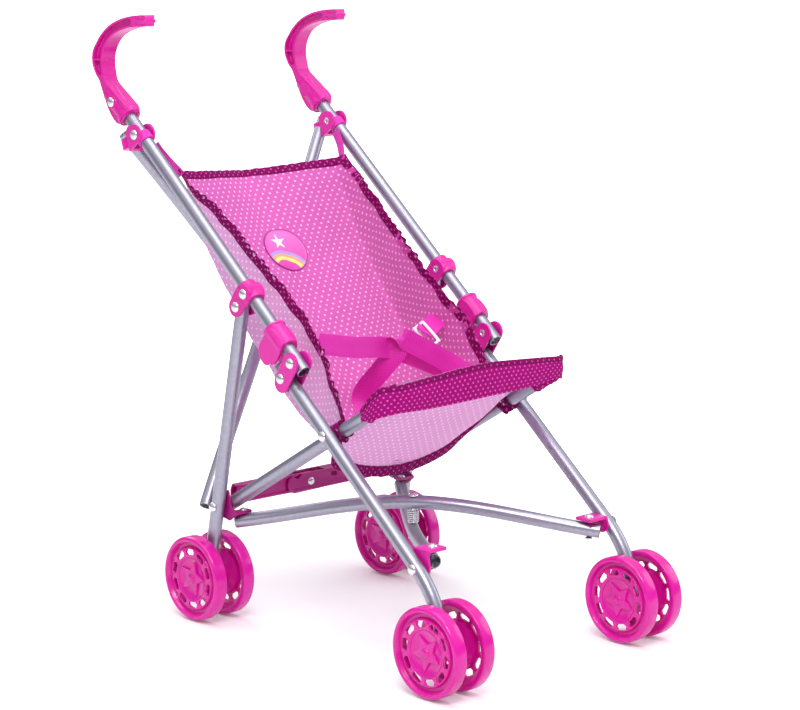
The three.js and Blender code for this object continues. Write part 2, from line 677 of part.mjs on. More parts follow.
// Builds the pieces that both sides have.
function side(name) {
  const half = new THREE.Group();
  if (name === "right") half.scale.x = -1;
  group.add(half);
  const add = (piece, geometry, look) => named(name + "_" + piece, geometry, look, half);
  add("handle_tube", handleTube(), STEEL);
  add("handle_grip", handleGrip(), PLASTIC);
  add("upper_bracket", upperBracket(), PLASTIC);
  add("rear_leg_saddle", rearLegSaddle(), PLASTIC);
  add("saddle_pivot_pin", cheekRivet(REAR_PIVOT), RIVET);
  add("lock_sleeve", lockSleeve(), PLASTIC);
  add("knuckle_clip", knuckleClip(), PLASTIC);
  add("fold_pivot_pin", cheekRivet(FOLD), RIVET);
  add("front_leg", frontLeg(), STEEL);
  add("rear_leg", rearLeg(), STEEL);
  add("seat_link", seatLink(), STEEL);
  add(
    "link_pivot_pin",
    rivet(onSide(LINK_PIVOT, SIDE_X - TUBE_R - 0.1), onSide(LINK_PIVOT, SIDE_X + TUBE_R + 0.1), 4.75, 3.25),
    RIVET,
  );
  add("lower_bracket", lowerBracket(), PLASTIC);
  add("scissor_bracket", scissorBracket(name), PLASTIC);
  for (const [end, hub] of [
    ["front", FRONT_HUB],
    ["rear", REAR_HUB],
  ]) {
    add(end + "_outer_wheel", wheel(onSide(hub, SIDE_X - 16.55), -1), PLASTIC);
    add(end + "_inner_wheel", wheel(onSide(hub, SIDE_X + 16.55), 1), PLASTIC);
    add(end + "_axle", axle(hub), RIVET);
  }
  add("seat_back", seatBack(), FABRIC);
  add("seat_base", seatBase(), FABRIC);
  const strapPath = [at(-108.5, 170, 422), at(-107, 164, 416), at(-104.5, 158, 410)];
  add("hanging_strap", ribbon(strapPath, at(0, 0.64, -0.77), 8), HEM);
}
side("left");
side("right");

// The crossed tubes: each starts on one side and ends on the other.
const mirrored = (geometry) => geometryOf(solid(geometry.clone().scale(-1, 1, 1)));
named("left_back_brace_tube", backBrace(6.5), STEEL);
named("right_back_brace_tube", mirrored(backBrace(-6.5)), STEEL);
named("left_scissor_tube", scissorTube("left"), STEEL);
named("right_scissor_tube", mirrored(scissorTube("right")), STEEL);

// The sprung bolt where the scissor tubes cross.
const BOLT_Y = SCISSOR_MIDDLE.y;
const UPPER_TUBE_Z = SCISSORS.right.middle;
const LOWER_TUBE_Z = SCISSORS.left.middle;
const boltTop = rivet(
  at(0, BOLT_Y, UPPER_TUBE_Z + TUBE_R + 0.2),
  at(0, BOLT_Y, LOWER_TUBE_Z + TUBE_R + 1.8),
  5,
  PIN_R,
);
named("scissor_bolt", boltTop, RIVET);
const nut = rivet(
  at(0, BOLT_Y, LOWER_TUBE_Z - TUBE_R - 0.2),
  at(0, BOLT_Y, LOWER_TUBE_Z + TUBE_R - 1.2),
  5,
  PIN_R,
);
named("scissor_nut", nut, RIVET);

// Compression spring around the bolt.
function spring() {
  const [low, high, turns] = [LOWER_TUBE_Z + TUBE_R + 1.2, UPPER_TUBE_Z - TUBE_R - 1.2, 5];
  const steps = 42;
  const points = Array.from({ length: steps + 1 }, (_, i) => {
    const part = i / steps;
    const turn = 2 * Math.PI * turns * part;
    return at(3.6 * Math.cos(turn), BOLT_Y + 3.6 * Math.sin(turn), low + (high - low) * part);
  });
  const curve = new THREE.CatmullRomCurve3(points);
  const wire = new THREE.Shape().absarc(0, 0, 0.55, 0, 2 * Math.PI, false);
  return new THREE.ExtrudeGeometry(wire, { steps, curveSegments: 3, extrudePath: curve });
}
named("scissor_spring", spring(), RIVET);

// Lock brace: the right half is wider and laps over the left half's end.
named("left_lock_brace", lockBrace(-93.2, 4, 5, -34), PLASTIC);
const outerHalf = lockBrace(93.2, -34, 7.5, 48);
const bracePin = rivet(
  at(-5, BRACE_Y - 7.6, LOCK_Z),
  at(-5, BRACE_Y - 6.9, LOCK_Z),
  4.2,
  2,
);
named("right_lock_brace", join(outerHalf, bracePin), PLASTIC);

// Harness: webbing on the seat, and a ring that joins it.
const RING = at(20, -50, 262);
const lapPath = (start) => smooth([start, start.clone().lerp(RING, 0.5).add(at(0, 10, -6)), RING.clone().lerp(start, 0.14)], 6);
named("left_lap_strap", ribbon(lapPath(at(-78, 20, 240)), at(0, 0.5, -0.87), 18), WEBBING);
named("right_lap_strap", ribbon(lapPath(at(84, 20, 246)), at(0, 0.5, -0.87), 18), WEBBING);
const crotchPath = smooth([at(11, -62, 179), at(11, -58, 207), at(16, -54, 248)], 6);
named("crotch_strap", ribbon(crotchPath, at(0.94, -0.34, 0), 18), WEBBING);
const ringOuter = new THREE.TorusGeometry(11, 1.6, 8, 4).rotateZ(Math.PI / 4).scale(1, 0.7, 1);
ringOuter.rotateX(Math.PI / 3).rotateZ(-0.6).translate(RING.x, RING.y, RING.z);
named("harness_ring", ringOuter, WHITE);

// A round patch stitched on the seat's back.
function patch() {
  const disc = new THREE.CylinderGeometry(24, 24, 0.8, 32);
  const lean = Math.atan2(398 - 148, 186 + 33);
  disc.rotateX(lean + Math.PI / 2);
  return disc.translate(0, 120.5, 329);
}
named("seat_patch", patch(), FABRIC);

export default group;
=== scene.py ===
"""A folding doll stroller: the looks of its tubes, plastics, wheels and cloth."""
import math
from contextlib import contextmanager

import bmesh
import bpy
from mathutils import Matrix, Vector, noise
from mathutils.bvhtree import BVHTree


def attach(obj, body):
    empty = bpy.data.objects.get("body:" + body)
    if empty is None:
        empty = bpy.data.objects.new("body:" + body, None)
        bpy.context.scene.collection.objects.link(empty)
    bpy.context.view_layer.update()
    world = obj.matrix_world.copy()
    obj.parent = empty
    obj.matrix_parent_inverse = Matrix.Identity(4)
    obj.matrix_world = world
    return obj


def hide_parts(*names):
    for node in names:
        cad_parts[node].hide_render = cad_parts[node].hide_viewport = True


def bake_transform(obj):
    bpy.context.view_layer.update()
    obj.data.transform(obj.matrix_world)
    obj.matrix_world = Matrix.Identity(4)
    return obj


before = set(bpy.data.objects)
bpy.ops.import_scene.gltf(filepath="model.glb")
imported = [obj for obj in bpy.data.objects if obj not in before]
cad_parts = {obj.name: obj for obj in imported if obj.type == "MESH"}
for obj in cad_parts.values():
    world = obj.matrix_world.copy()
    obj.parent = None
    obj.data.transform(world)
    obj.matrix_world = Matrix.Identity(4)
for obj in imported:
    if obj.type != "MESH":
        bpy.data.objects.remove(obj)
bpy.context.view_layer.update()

MM = 0.001
SIDE_X = -118.0  # plane of the left handle tube and legs, in millimetres
LINK_X = -102.8
TUBE_R = 6.25
BORE_R = 5.35
WHEEL_R = 39.0
CLIP = (SIDE_X - 9, SIDE_X + 9)  # faces of the moulded clips
CLIP_ROOM = (SIDE_X - 6.6, SIDE_X + 6.6)
ROOM_R = 6.4  # a tube's place inside a clip
PLATE = (-111.45, -109.35)
SLOPE = math.radians(40)
UP = (math.cos(SLOPE), math.sin(SLOPE))
ACROSS = (math.sin(SLOPE), -math.cos(SLOPE))
FOLD = (-32.1, 255.0)  # every (y, z) here is a point in the side view, in millimetres
X_AXIS = Vector((1, 0, 0))
Z_AXIS = Vector((0, 0, 1))


def handle_point(along, across=0.0):
    """A point (y, z) along the handle from its fold pivot, and across from its axis."""
    y = FOLD[0] + along * UP[0] + across * ACROSS[0]
    return (y, FOLD[1] + along * UP[1] + across * ACROSS[1])


def on_handle(along, across=0.0, x=SIDE_X):
    return Vector((x, *handle_point(along, across)))


def on_side(point, x=SIDE_X):
    return Vector((x, point[0], point[1]))


def towards(start, end, length):
    """The point `length` from start in the direction of end."""
    reach = math.dist(start, end)
    return tuple(s + (e - s) * length / reach for s, e in zip(start, end))


REAR_PIVOT = handle_point(82.8, 16.2)
LINK_PIVOT = handle_point(-67.5, 20)
LINK_END = (80.3, 106.0)
UPPER = handle_point(285.8)
SCISSOR_FRONT = handle_point(-216, 20)
FRONT_HUB = (-216.9, WHEEL_R)
REAR_HUB = (93.9, WHEEL_R)
BRACE_FOOT = (95.2, 109.0)
BRACE_STAND_OFF = 19.0
BRACE_HEADING = towards((0, 0), (UPPER[0] + 18 - BRACE_FOOT[0], UPPER[1] - 6 - BRACE_FOOT[1]), 1)
BRACE_NORMAL = (BRACE_HEADING[1], -BRACE_HEADING[0])


def brace_point(up, out):
    """A point (y, z) up along the back brace from the upper bracket's pivot, and out behind it."""
    y = UPPER[0] + up * BRACE_HEADING[0] + out * BRACE_NORMAL[0]
    return (y, UPPER[1] + up * BRACE_HEADING[1] + out * BRACE_NORMAL[1])


# ---------------------------------------------------------------- materials


class Nodes:
    """A small helper that adds shader nodes to a new material."""

    def __init__(self, name):
        self.material = bpy.data.materials.new(name)
        self.material.use_nodes = True
        self.tree = self.material.node_tree
        self.shader = self.tree.nodes["Principled BSDF"]

    def add(self, kind, **settings):
        node = self.tree.nodes.new(kind)
        for key, value in settings.items():
            if key.startswith("in_"):
                node.inputs[int(key[3:])].default_value = value
            else:
                setattr(node, key, value)
        return node

    def link(self, source, target):
        self.tree.links.new(source, target)
        return target

    def set(self, **values):
        for key, value in values.items():
            self.shader.inputs[key.replace("_", " ")].default_value = value

    def math(self, operation, first, second=0.0):
        node = self.add("ShaderNodeMath", operation=operation)
        for slot, value in zip(node.inputs, (first, second)):
            if isinstance(value, (int, float)):
                slot.default_value = value
            else:
                self.link(value, slot)
        return node.outputs[0]

    def mix(self, factor, first, second):
        node = self.add("ShaderNodeMix", data_type="RGBA")
        for slot, value in zip((node.inputs[0], node.inputs[6], node.inputs[7]), (factor, first, second)):
            if isinstance(value, (int, float, tuple)):
                slot.default_value = value
            else:
                self.link(value, slot)
        return node.outputs[2]

    def position(self):
        return self.add("ShaderNodeTexCoord").outputs["Object"]

    def color(self, tone):
        self.link(tone, self.shader.inputs["Base Color"])

    def uv_axes(self):
        """The distances across and down the flat piece, in metres."""
        split = self.add("ShaderNodeSeparateXYZ")
        self.link(self.add("ShaderNodeUVMap").outputs[0], split.inputs[0])
        return split.outputs[0], split.outputs[1]

    def length(self, first, second):
        """The length of the diagonal of two values."""
        squares = [self.math("MULTIPLY", value, value) for value in (first, second)]
        return self.math("SQRT", self.math("ADD", *squares))

    def noise(self, scale, detail=3.0):
        node = self.add("ShaderNodeTexNoise")
        node.inputs["Scale"].default_value = scale
        node.inputs["Detail"].default_value = detail
        self.link(self.position(), node.inputs["Vector"])
        return node.outputs["Fac"]

    def vary_roughness(self, grain, middle, spread):
        """Lets the roughness wander either side of middle with a noise value."""
        rough = self.math("MULTIPLY_ADD", grain, spread)
        rough.node.inputs[2].default_value = middle - spread / 2
        self.link(rough, self.shader.inputs["Roughness"])

    def bump(self, height, strength, distance):
        node = self.add("ShaderNodeBump")
        node.inputs["Strength"].default_value = strength
        node.inputs["Distance"].default_value = distance
        self.link(height, node.inputs["Height"])
        self.link(node.outputs[0], self.shader.inputs["Normal"])

    def ramp(self, value, low, high):
        """Maps value from low..high to 0..1."""
        node = self.add("ShaderNodeMapRange")
        self.link(value, node.inputs[0])
        node.inputs[1].default_value = low
        node.inputs[2].default_value = high
        return node.outputs[0]


def rgb(red, green, blue):
    """A linear colour from 0 to 255 screen values."""
    values = [c / 255 for c in (red, green, blue)]
    linear = [c / 12.92 if c <= 0.04045 else ((c + 0.055) / 1.055) ** 2.4 for c in values]
    return (*linear, 1.0)


def toned(color, factor, lift=0.0):
    """A darker or lighter version of a colour."""
    return tuple(min(1.0, c * factor + lift) for c in color[:3]) + (1.0,)


def metal_material(name, color, roughness, grain):
    made = Nodes(name)
    made.set(Metallic=0.85)
    speck = made.noise(grain, 5)
    tone = made.mix(made.ramp(speck, 0.3, 0.7), color, toned(color, 0.88))
    made.color(tone)
    made.vary_roughness(speck, roughness, 0.14)
    made.bump(speck, 0.12, 0.0002)
    return made.material


def plastic_material(name, color, roughness=0.3, see_through=0.0, bright=None):
    made = Nodes(name)
    bright = bright or toned(color, 1.25, 0.01)
    tone = made.mix(made.ramp(made.noise(14, 2), 0.35, 0.75), color, bright)
    made.color(tone)
    made.set(Coat_Weight=0.15, Coat_Roughness=0.1, IOR=1.45)
    made.set(Subsurface_Weight=0.12, Subsurface_Scale=0.003, Transmission_Weight=see_through)
    made.set(Subsurface_Radius=(1.0, 0.25, 0.5))
    made.bump(made.noise(900, 3), 0.06, 0.0002)
    made.vary_roughness(made.noise(60, 4), roughness, 0.12)
    return made.material


def grid_distance(made, axes, pitch, shift=0.0):
    """Distance from the nearest point of a grid on the flat cloth. pitch is across and down."""
    gaps = []
    for axis, step in zip(axes, pitch):
        offset = made.math("ADD", made.math("DIVIDE", axis, step), shift)
        part = made.math("SUBTRACT", made.math("FRACT", offset), 0.5)
        gaps.append(made.math("MULTIPLY", part, step))
    return made.length(*gaps)


def diamond_dots(made, axes, pitch, radius, soft):
    """1 inside dots laid on a diagonal grid."""
    first = grid_distance(made, axes, pitch)
    second = grid_distance(made, axes, pitch, 0.5)
    nearest = made.math("MINIMUM", first, second)
    return made.ramp(nearest, radius + soft, radius - soft)


def mesh_cloth(name, face, back, pitch=(0.008, 0.010), radius=0.00105, sheen=0.18, shine=0.4):
    """Dotted knit mesh with fine holes. face and back each give a colour and its dots' colour."""
    made = Nodes(name)
    axes = made.uv_axes()
    dots = diamond_dots(made, axes, pitch, radius, 0.0003)
    holes = diamond_dots(made, axes, (0.0019, 0.0019), 0.00042, 0.0002)
    cloudy = made.ramp(made.noise(9, 3), 0.3, 0.7)
    seen = []
    for (color, dot), cloud, hole_share, hole_tone in ((face, 0.86, 0.35, 0.55), (back, 0.93, 0.3, 0.75)):
        ground = made.mix(cloudy, color, toned(color, cloud))
        ground = made.mix(made.math("MULTIPLY", holes, hole_share), ground, toned(color, hole_tone))
        seen.append(made.mix(dots, ground, dot))
    facing = made.add("ShaderNodeNewGeometry").outputs["Backfacing"]
    made.color(made.mix(facing, *seen))
    made.set(Roughness=0.75, Sheen_Weight=sheen, Sheen_Roughness=0.4, Specular_IOR_Level=shine)
    made.set(Sheen_Tint=(1.0, 0.7, 0.9, 1.0))
    height = made.math("SUBTRACT", made.math("MULTIPLY", dots, 0.6), holes)
    made.bump(height, 0.35, 0.0004)
    through = made.add("ShaderNodeBsdfTranslucent")
    made.link(seen[1], through.inputs[0])
    blend = made.add("ShaderNodeMixShader", in_0=0.22)
    made.link(made.shader.outputs[0], blend.inputs[1])
    made.link(through.outputs[0], blend.inputs[2])
    made.link(blend.outputs[0], made.tree.nodes["Material Output"].inputs[0])
    return made.material


def woven_material(name, color):
    """Woven tape: fine ribs across and along it."""
    made = Nodes(name)
    ribs = []
    for axis, size in zip(made.uv_axes(), (0.0011, 0.00176)):
        ribs.append(made.math("SINE", made.math("MULTIPLY", axis, 2 * math.pi / size)))
    weave = made.ramp(made.math("MULTIPLY", *ribs), -1, 1)
    tone = made.mix(weave, toned(color, 0.62), toned(color, 1.2, 0.01))
    made.color(tone)
    made.set(Roughness=0.7, Sheen_Weight=0.12, Sheen_Roughness=0.35)
    made.bump(weave, 0.5, 0.0003)
    return made.material


def webbing_material(name, color):
    """Herringbone webbing: slanting ribs that turn at every few millimetres of width."""
    made = Nodes(name)
    across, along = made.uv_axes()
    slant = made.math("ADD", along, made.math("PINGPONG", across, 0.0034))
    ribs = made.math("SINE", made.math("MULTIPLY", slant, 2 * math.pi / 0.0019))
    fine = made.math("SINE", made.math("MULTIPLY", across, 2 * math.pi / 0.0007))
    weave = made.ramp(made.math("ADD", ribs, made.math("MULTIPLY", fine, 0.3)), -1.3, 1.3)
    tone = made.mix(weave, toned(color, 0.55), toned(color, 1.3, 0.012))
    made.color(tone)
    made.set(Roughness=0.5, Sheen_Weight=0.15, Sheen_Roughness=0.3, Specular_IOR_Level=0.5)
    made.bump(weave, 0.45, 0.0003)
    return made.material


def patch_material(name, radius):
    """Printed patch: a pink ground, three stripes, a plain star and a dark rim."""
    made = Nodes(name)
    x, y = made.uv_axes()
    color = made.mix(made.ramp(y, -radius, radius), rgb(205, 40, 160), rgb(255, 120, 205))
    sweep_x = made.math("SUBTRACT", x, -0.3 * radius)
    far = made.length(sweep_x, made.math("SUBTRACT", y, -1.05 * radius))
    for start, end, tone in (
        (0.62, 0.78, rgb(250, 225, 120)),
        (0.78, 0.92, rgb(250, 165, 120)),
        (0.92, 1.06, rgb(170, 150, 235)),
    ):
        inside = made.math("GREATER_THAN", far, start * radius)
        outside = made.math("LESS_THAN", far, end * radius)
        color = made.mix(made.math("MULTIPLY", inside, outside), color, tone)
    star_x = made.math("SUBTRACT", x, -0.12 * radius)
    star_y = made.math("SUBTRACT", y, 0.42 * radius)
    angle = made.math("ARCTAN2", star_x, star_y)
    fold = made.math("ABSOLUTE", made.math("PINGPONG", angle, math.pi / 5))
    reach = made.length(star_x, star_y)
    # A star's straight edge from a tip at angle 0 to a notch at pi / 5.
    edge_y = made.math("MULTIPLY", reach, made.math("COSINE", fold))
    edge_x = made.math("MULTIPLY", reach, made.math("SINE", fold))
    limit = made.math("ADD", edge_y, made.math("MULTIPLY", edge_x, 3.08))
    color = made.mix(made.math("LESS_THAN", limit, 0.36 * radius), color, rgb(250, 250, 255))
    rim = made.math("GREATER_THAN", made.length(x, y), 0.94 * radius)
    color = made.mix(rim, color, rgb(176, 40, 150))
    made.color(color)
    made.set(Roughness=0.45, Sheen_Weight=0.1)
    made.bump(made.noise(1500, 2), 0.25, 0.0002)
    return made.material


TUBE = metal_material("satin_tube", rgb(170, 168, 184), 0.34, 260)
BRIGHT = metal_material("bright_rivet", rgb(232, 233, 236), 0.2, 700)
PINK = plastic_material("pink_plastic", rgb(210, 12, 150), 0.3, 0.0, rgb(226, 30, 168))
WHEEL = plastic_material("wheel_plastic", rgb(216, 10, 152), 0.2, 0.04, rgb(230, 30, 172))
LOCK = plastic_material("lock_plastic", rgb(158, 4, 112), 0.34, 0.0, rgb(176, 10, 126))
DARK = metal_material("dark_bolt", rgb(70, 68, 78), 0.4, 500)
WHITE = plastic_material("white_plastic", rgb(238, 238, 240), 0.3)
CLOTH_FACE = (rgb(222, 76, 182), rgb(250, 190, 236))
CLOTH_BACK = (rgb(232, 172, 224), rgb(250, 228, 248))
CLOTH = mesh_cloth("mesh_cloth", CLOTH_FACE, CLOTH_BACK)


def dotted_hem(name, color, dot):
    """Plain dark cloth with pale dots, seen the same from both sides."""
    return mesh_cloth(name, (color, dot), (color, dot), (0.006, 0.0075), 0.00085, 0.02, 0.12)


BAND = dotted_hem("band_cloth", rgb(176, 4, 126), rgb(232, 110, 200))
HEM_DOTS = dotted_hem("dark_hem_cloth", rgb(146, 4, 104), rgb(216, 96, 180))
STRAP = woven_material("webbing", rgb(226, 42, 182))
HARNESS = webbing_material("harness_webbing", rgb(236, 38, 182))

# ---------------------------------------------------------------- mesh helpers


def add_object(name, data):
    made = bpy.data.objects.new(name, data)
    bpy.context.scene.collection.objects.link(made)
    return made


def add_mesh(name, points, faces, material, uv=None):
    """A mesh object from points in millimetres. uv gives one (u, v) in metres for each point."""
    mesh = bpy.data.meshes.new(name)
    mesh.from_pydata([Vector(p) * MM for p in points], [], faces)
    mesh.validate()
    if uv:
        layer = mesh.uv_layers.new(name="UVMap")
        for loop in mesh.loops:
            layer.data[loop.index].uv = uv[loop.vertex_index]
    mesh.polygons.foreach_set("use_smooth", [True] * len(mesh.polygons))
    mesh.materials.append(material)
    return add_object(name, mesh)


def wrapped_faces(ring_count, sides, first=0, closed=False):
    """Quads from each ring of points to the next one, and from the last ring to the first if closed."""
    faces = []
    for i in range(ring_count if closed else ring_count - 1):
        low = first + i * sides
        high = first + (i + 1) % ring_count * sides
        for k in range(sides):
            n = (k + 1) % sides
            faces.append((low + k, low + n, high + n, high + k))
    return faces


def prism_faces(count):
    """The ends and the sides between a lower and an upper outline."""
    faces = [tuple(range(count))[::-1], tuple(range(count, 2 * count))]
    return faces + [(k, (k + 1) % count, (k + 1) % count + count, k + count) for k in range(count)]


@contextmanager
def editing(made):
    """The object's mesh as a BMesh, written back at the end."""
    bm = bmesh.new()
    bm.from_mesh(made.data)
    yield bm
    bm.to_mesh(made.data)
    bm.free()


def bend_at(edge):
    """The angle between an edge's two faces, or a full turn at an open edge."""
    return edge.calc_face_angle(0) if len(edge.link_faces) == 2 else 2 * math.pi


def shade(made, degrees=35):
    """Smooth shading that keeps edges sharper than `degrees`."""
    with editing(made) as bm:
        bmesh.ops.recalc_face_normals(bm, faces=bm.faces)
        for edge in bm.edges:
            edge.smooth = bend_at(edge) < math.radians(degrees)
        for face in bm.faces:
            face.smooth = True
    return made


def bevel(made, width=0.8, segments=3, degrees=35):
    """Rounds the edges of a solid, in millimetres, in the mesh itself."""
    look = {"segments": segments, "profile": 0.6, "affect": "EDGES", "clamp_overlap": True}
    with editing(made) as bm:
        bmesh.ops.remove_doubles(bm, verts=bm.verts, dist=1e-6)
        bmesh.ops.recalc_face_normals(bm, faces=bm.faces)
        sharp = [e for e in bm.edges if math.radians(degrees) < bend_at(e) <= math.pi]
        bmesh.ops.bevel(bm, geom=sharp, offset=width * MM, **look)
    return shade(made, 50)


def merge(name, pieces):
    """Joins objects into one, keeping their materials."""
    bpy.ops.object.select_all(action="DESELECT")
    for piece in pieces:
        piece.select_set(True)
    bpy.context.view_layer.objects.active = pieces[0]
    bpy.ops.object.join()
    pieces[0].name = name
    return pieces[0]


def mirror_mesh(mesh):
    """Moves a mesh to the other side of the X = 0 plane."""
    mesh.transform(Matrix.Scale(-1, 4, X_AXIS))
    mesh.flip_normals()
    return mesh


def mirrored(made, name):
    """A mirrored copy."""
    return add_object(name, mirror_mesh(made.data.copy()))


def rings(points, radius_at, sides, reference):
    """Rings of points round a path."""
    last = len(points) - 1
    made = []
    for i, point in enumerate(points):
        tangent = points[min(i + 1, last)] - points[max(i - 1, 0)]
        first = reference.cross(tangent).normalized()
        second = tangent.cross(first).normalized()
        radius = radius_at(i)
        for k in range(sides):
            turn = 2 * math.pi * k / sides
            made.append(point + first * radius * math.cos(turn) + second * radius * math.sin(turn))
    return made


def tube(name, points, reference=X_AXIS):
    """A hollow tube with rounded rims and its bore open at both ends."""
    points = [Vector(p) for p in points]
    sides = 32
    lip = 0.35
    start = (points[1] - points[0]).normalized() * lip
    end = (points[-1] - points[-2]).normalized() * lip
    path = [points[0], points[0] + start] + points[1:-1] + [points[-1] - end, points[-1]]
    count = len(path)
    verts = []
    for wall, radius, rim in ((path, TUBE_R, TUBE_R - lip), (path[::-1], BORE_R, BORE_R + 0.1)):
        verts += rings(wall, lambda i: rim if i in (0, count - 1) else radius, sides, reference)
    half = count * sides
    faces = wrapped_faces(count, sides) + wrapped_faces(count, sides, half)
    # The inner wall's rings run back from the far end, so their tangents and angles are turned round.
    for outer_ring, inner_ring in ((count - 1, 0), (0, count - 1)):
        for k in range(sides):
            n = (k + 1) % sides
            a = outer_ring * sides
            b = half + inner_ring * sides
            faces.append((a + k, a + n, b + (-n) % sides, b + (-k) % sides))
    return shade(add_mesh(name, verts, faces, TUBE), 40)


def rotate_to(direction):
    return Z_AXIS.rotation_difference(direction).to_matrix().to_4x4()


def ring_of(radius, height, sides):
    """Points round the Z axis."""
    turns = [2 * math.pi * k / sides for k in range(sides)]
    return [Vector((radius * math.cos(turn), radius * math.sin(turn), height)) for turn in turns]


def lathe(name, profile, start, direction, material, sides=32, close=False):
    """Turns a profile of (radius, height) about a line from start along direction."""
    verts = [point for radius, height in profile for point in ring_of(radius, height, sides)]
    faces = wrapped_faces(len(profile), sides, closed=close)
    stand = Matrix.Translation(Vector(start)) @ rotate_to(Vector(direction).normalized())
    made = add_mesh(name, [stand @ v for v in verts], faces, material)
    with editing(made) as bm:
        bmesh.ops.remove_doubles(bm, verts=bm.verts, dist=1e-7)
    return shade(made)


def rivet_head(name, point, direction, radius=4.75, height=2.3, material=BRIGHT):
    """A domed head that stands on point and bulges along direction."""
    profile = [(0.001, height), (radius * 0.3, height * 0.96), (radius * 0.55, height * 0.84)]
    profile += [(radius * 0.78, height * 0.6), (radius * 0.93, height * 0.32)]
    profile += [(radius, 0.12), (radius * 0.98, -0.3)]
    return lathe(name, profile, point, direction, material, 28)


def rivet_tail(name, point, direction):
    """The rolled, hollow end of a rivet."""
    profile = [(1.3, -0.2), (1.3, 0.5), (1.7, 1.05), (2.4375, 1.15), (3.25, 0.6), (3.25, -0.3)]
    return lathe(name, profile, point, direction, BRIGHT, 24)


def slab(name, outline, low, high, material, axis="x", round_by=0.8):
    """A plate between two planes, with rounded edges.

    The outline is (y, z) for axis x and (x, z) for axis y.
    """

    def spot(a, b, c):
        return (c, a, b) if axis == "x" else (a, c, b)

    count = len(outline)
    verts = [spot(a, b, low) for a, b in outline] + [spot(a, b, high) for a, b in outline]
    faces = [tuple(range(count)), tuple(range(2 * count - 1, count - 1, -1))]
    faces += [(i, (i + 1) % count, (i + 1) % count + count, i + count) for i in range(count)]
    made = add_mesh(name, verts, faces, material)
    if round_by:
        return bevel(made, round_by)
    return shade(made)


def arc_points(centre, radius, start, end, count):
    """Points on an arc between two headings in degrees."""
    turns = [math.radians(start + (end - start) * i / (count - 1)) for i in range(count)]
    return [(centre[0] + radius * math.cos(turn), centre[1] + radius * math.sin(turn)) for turn in turns]


def oblong(start, end, radius_start, radius_end, count=14):
    """An outline of two round ends joined by straight sides."""
    heading = math.degrees(math.atan2(end[1] - start[1], end[0] - start[0]))
    first = arc_points(end, radius_end, heading - 90, heading + 90, count)
    return first + arc_points(start, radius_start, heading + 90, heading + 270, count)


def beyond(points, index):
    """The point at that index. Past an end, the end's neighbour is reflected in it."""
    last = len(points) - 1
    if index < 0:
        return points[0] * 2 - points[1]
    if index > last:
        return points[last] * 2 - points[last - 1]
    return points[index]


def lengths_along(points):
    made = [0.0]
    for a, b in zip(points, points[1:]):
        made.append(made[-1] + (b - a).length)
    return made


def resampled(points, count, closed=False):
    """The same line with another number of evenly spaced points."""
    arc = lengths_along(points)
    made = []
    j = 0
    for i in range(count):
        goal = arc[-1] * i / (count if closed else count - 1)
        while j < len(arc) - 2 and arc[j + 1] < goal:
            j += 1
        span = max(arc[j + 1] - arc[j], 1e-9)
        made.append(points[j].lerp(points[j + 1], (goal - arc[j]) / span))
    return made


def smooth_path(points, count, closed=False):
    """Spaces points evenly along a smooth curve."""
    points = [Vector(p) for p in points]
    total = len(points)
    dense = []
    steps = 24
    for i in range(total if closed else total - 1):
        p = [points[(i + k) % total] if closed else beyond(points, i + k) for k in (-1, 0, 1, 2)]
        slope = p[2] - p[0]
        bend = 2 * p[0] - 5 * p[1] + 4 * p[2] - p[3]
        twist = 3 * p[1] - p[0] - 3 * p[2] + p[3]
        for t in (step / steps for step in range(steps)):
            dense.append(0.5 * (2 * p[1] + slope * t + bend * t * t + twist * t**3))
    dense.append(points[0] if closed else points[-1])
    return resampled(dense, count, closed)


def smooth_outline(corners, count):
    """A smooth closed outline through (y, z) corners."""
    return [(p.y, p.z) for p in smooth_path([(0, *c) for c in corners], count, True)]


def place(made, body, *nodes):
    """Puts a left-hand piece on its body, with its mirrored twin on the right-hand one."""
    twin = mirrored(made, made.name.replace("left_", "right_"))
    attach(made, "left_" + body)
    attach(twin, "right_" + body)
    for node in nodes:
        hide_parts("left_" + node)
        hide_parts("right_" + node)
    return made, twin


def with_modifier(made, kind, **settings):
    """Adds a modifier and bakes it into the mesh."""
    modifier = made.modifiers.new("step", kind)
    for key, value in settings.items():
        setattr(modifier, key, value)
    graph = bpy.context.evaluated_depsgraph_get()
    mesh = bpy.data.meshes.new_from_object(made.evaluated_get(graph))
    made.modifiers.clear()
    made.data = mesh
    return made


def combine(made, others, operation):
    """Joins or cuts a solid with others, which are used up."""
    for other in others:
        with_modifier(made, "BOOLEAN", object=other, operation=operation, solver="EXACT", use_self=True)
        bpy.data.objects.remove(other)
    return made


def moulded(name, made, cuts=(), adds=(), last_cuts=(), material=PINK, voxel=0.4):
    """One moulded plastic piece: solids cut and joined, with every edge softened."""
    combine(made, cuts, "DIFFERENCE")
    combine(made, adds, "UNION")
    combine(made, last_cuts, "DIFFERENCE")
    with_modifier(made, "REMESH", mode="VOXEL", voxel_size=voxel * MM, use_smooth_shade=True)
    with_modifier(made, "SMOOTH", factor=0.5, iterations=3)
    made.name = name
    made.data.materials.clear()
    made.data.materials.append(material)
    made.data.polygons.foreach_set("use_smooth", [True] * len(made.data.polygons))
    return made


def rod(start, end, radius, sides=40):
    """A plain cylinder from one point to another, for joining and cutting."""
    line = Vector(end) - Vector(start)
    verts = ring_of(radius, 0, sides) + ring_of(radius, line.length, sides)
    stand = Matrix.Translation(Vector(start)) @ rotate_to(line.normalized())
    return shade(add_mesh("rod", [stand @ v for v in verts], prism_faces(sides), PINK))


def solid_slab(outline, low, high, axis="x"):
    return slab("slab", outline, low, high, PINK, axis, 0)


def solid_box(low, high):
    outline = [(low[1], low[2]), (high[1], low[2]), (high[1], high[2]), (low[1], high[2])]
    return solid_slab(outline, low[0], high[0])


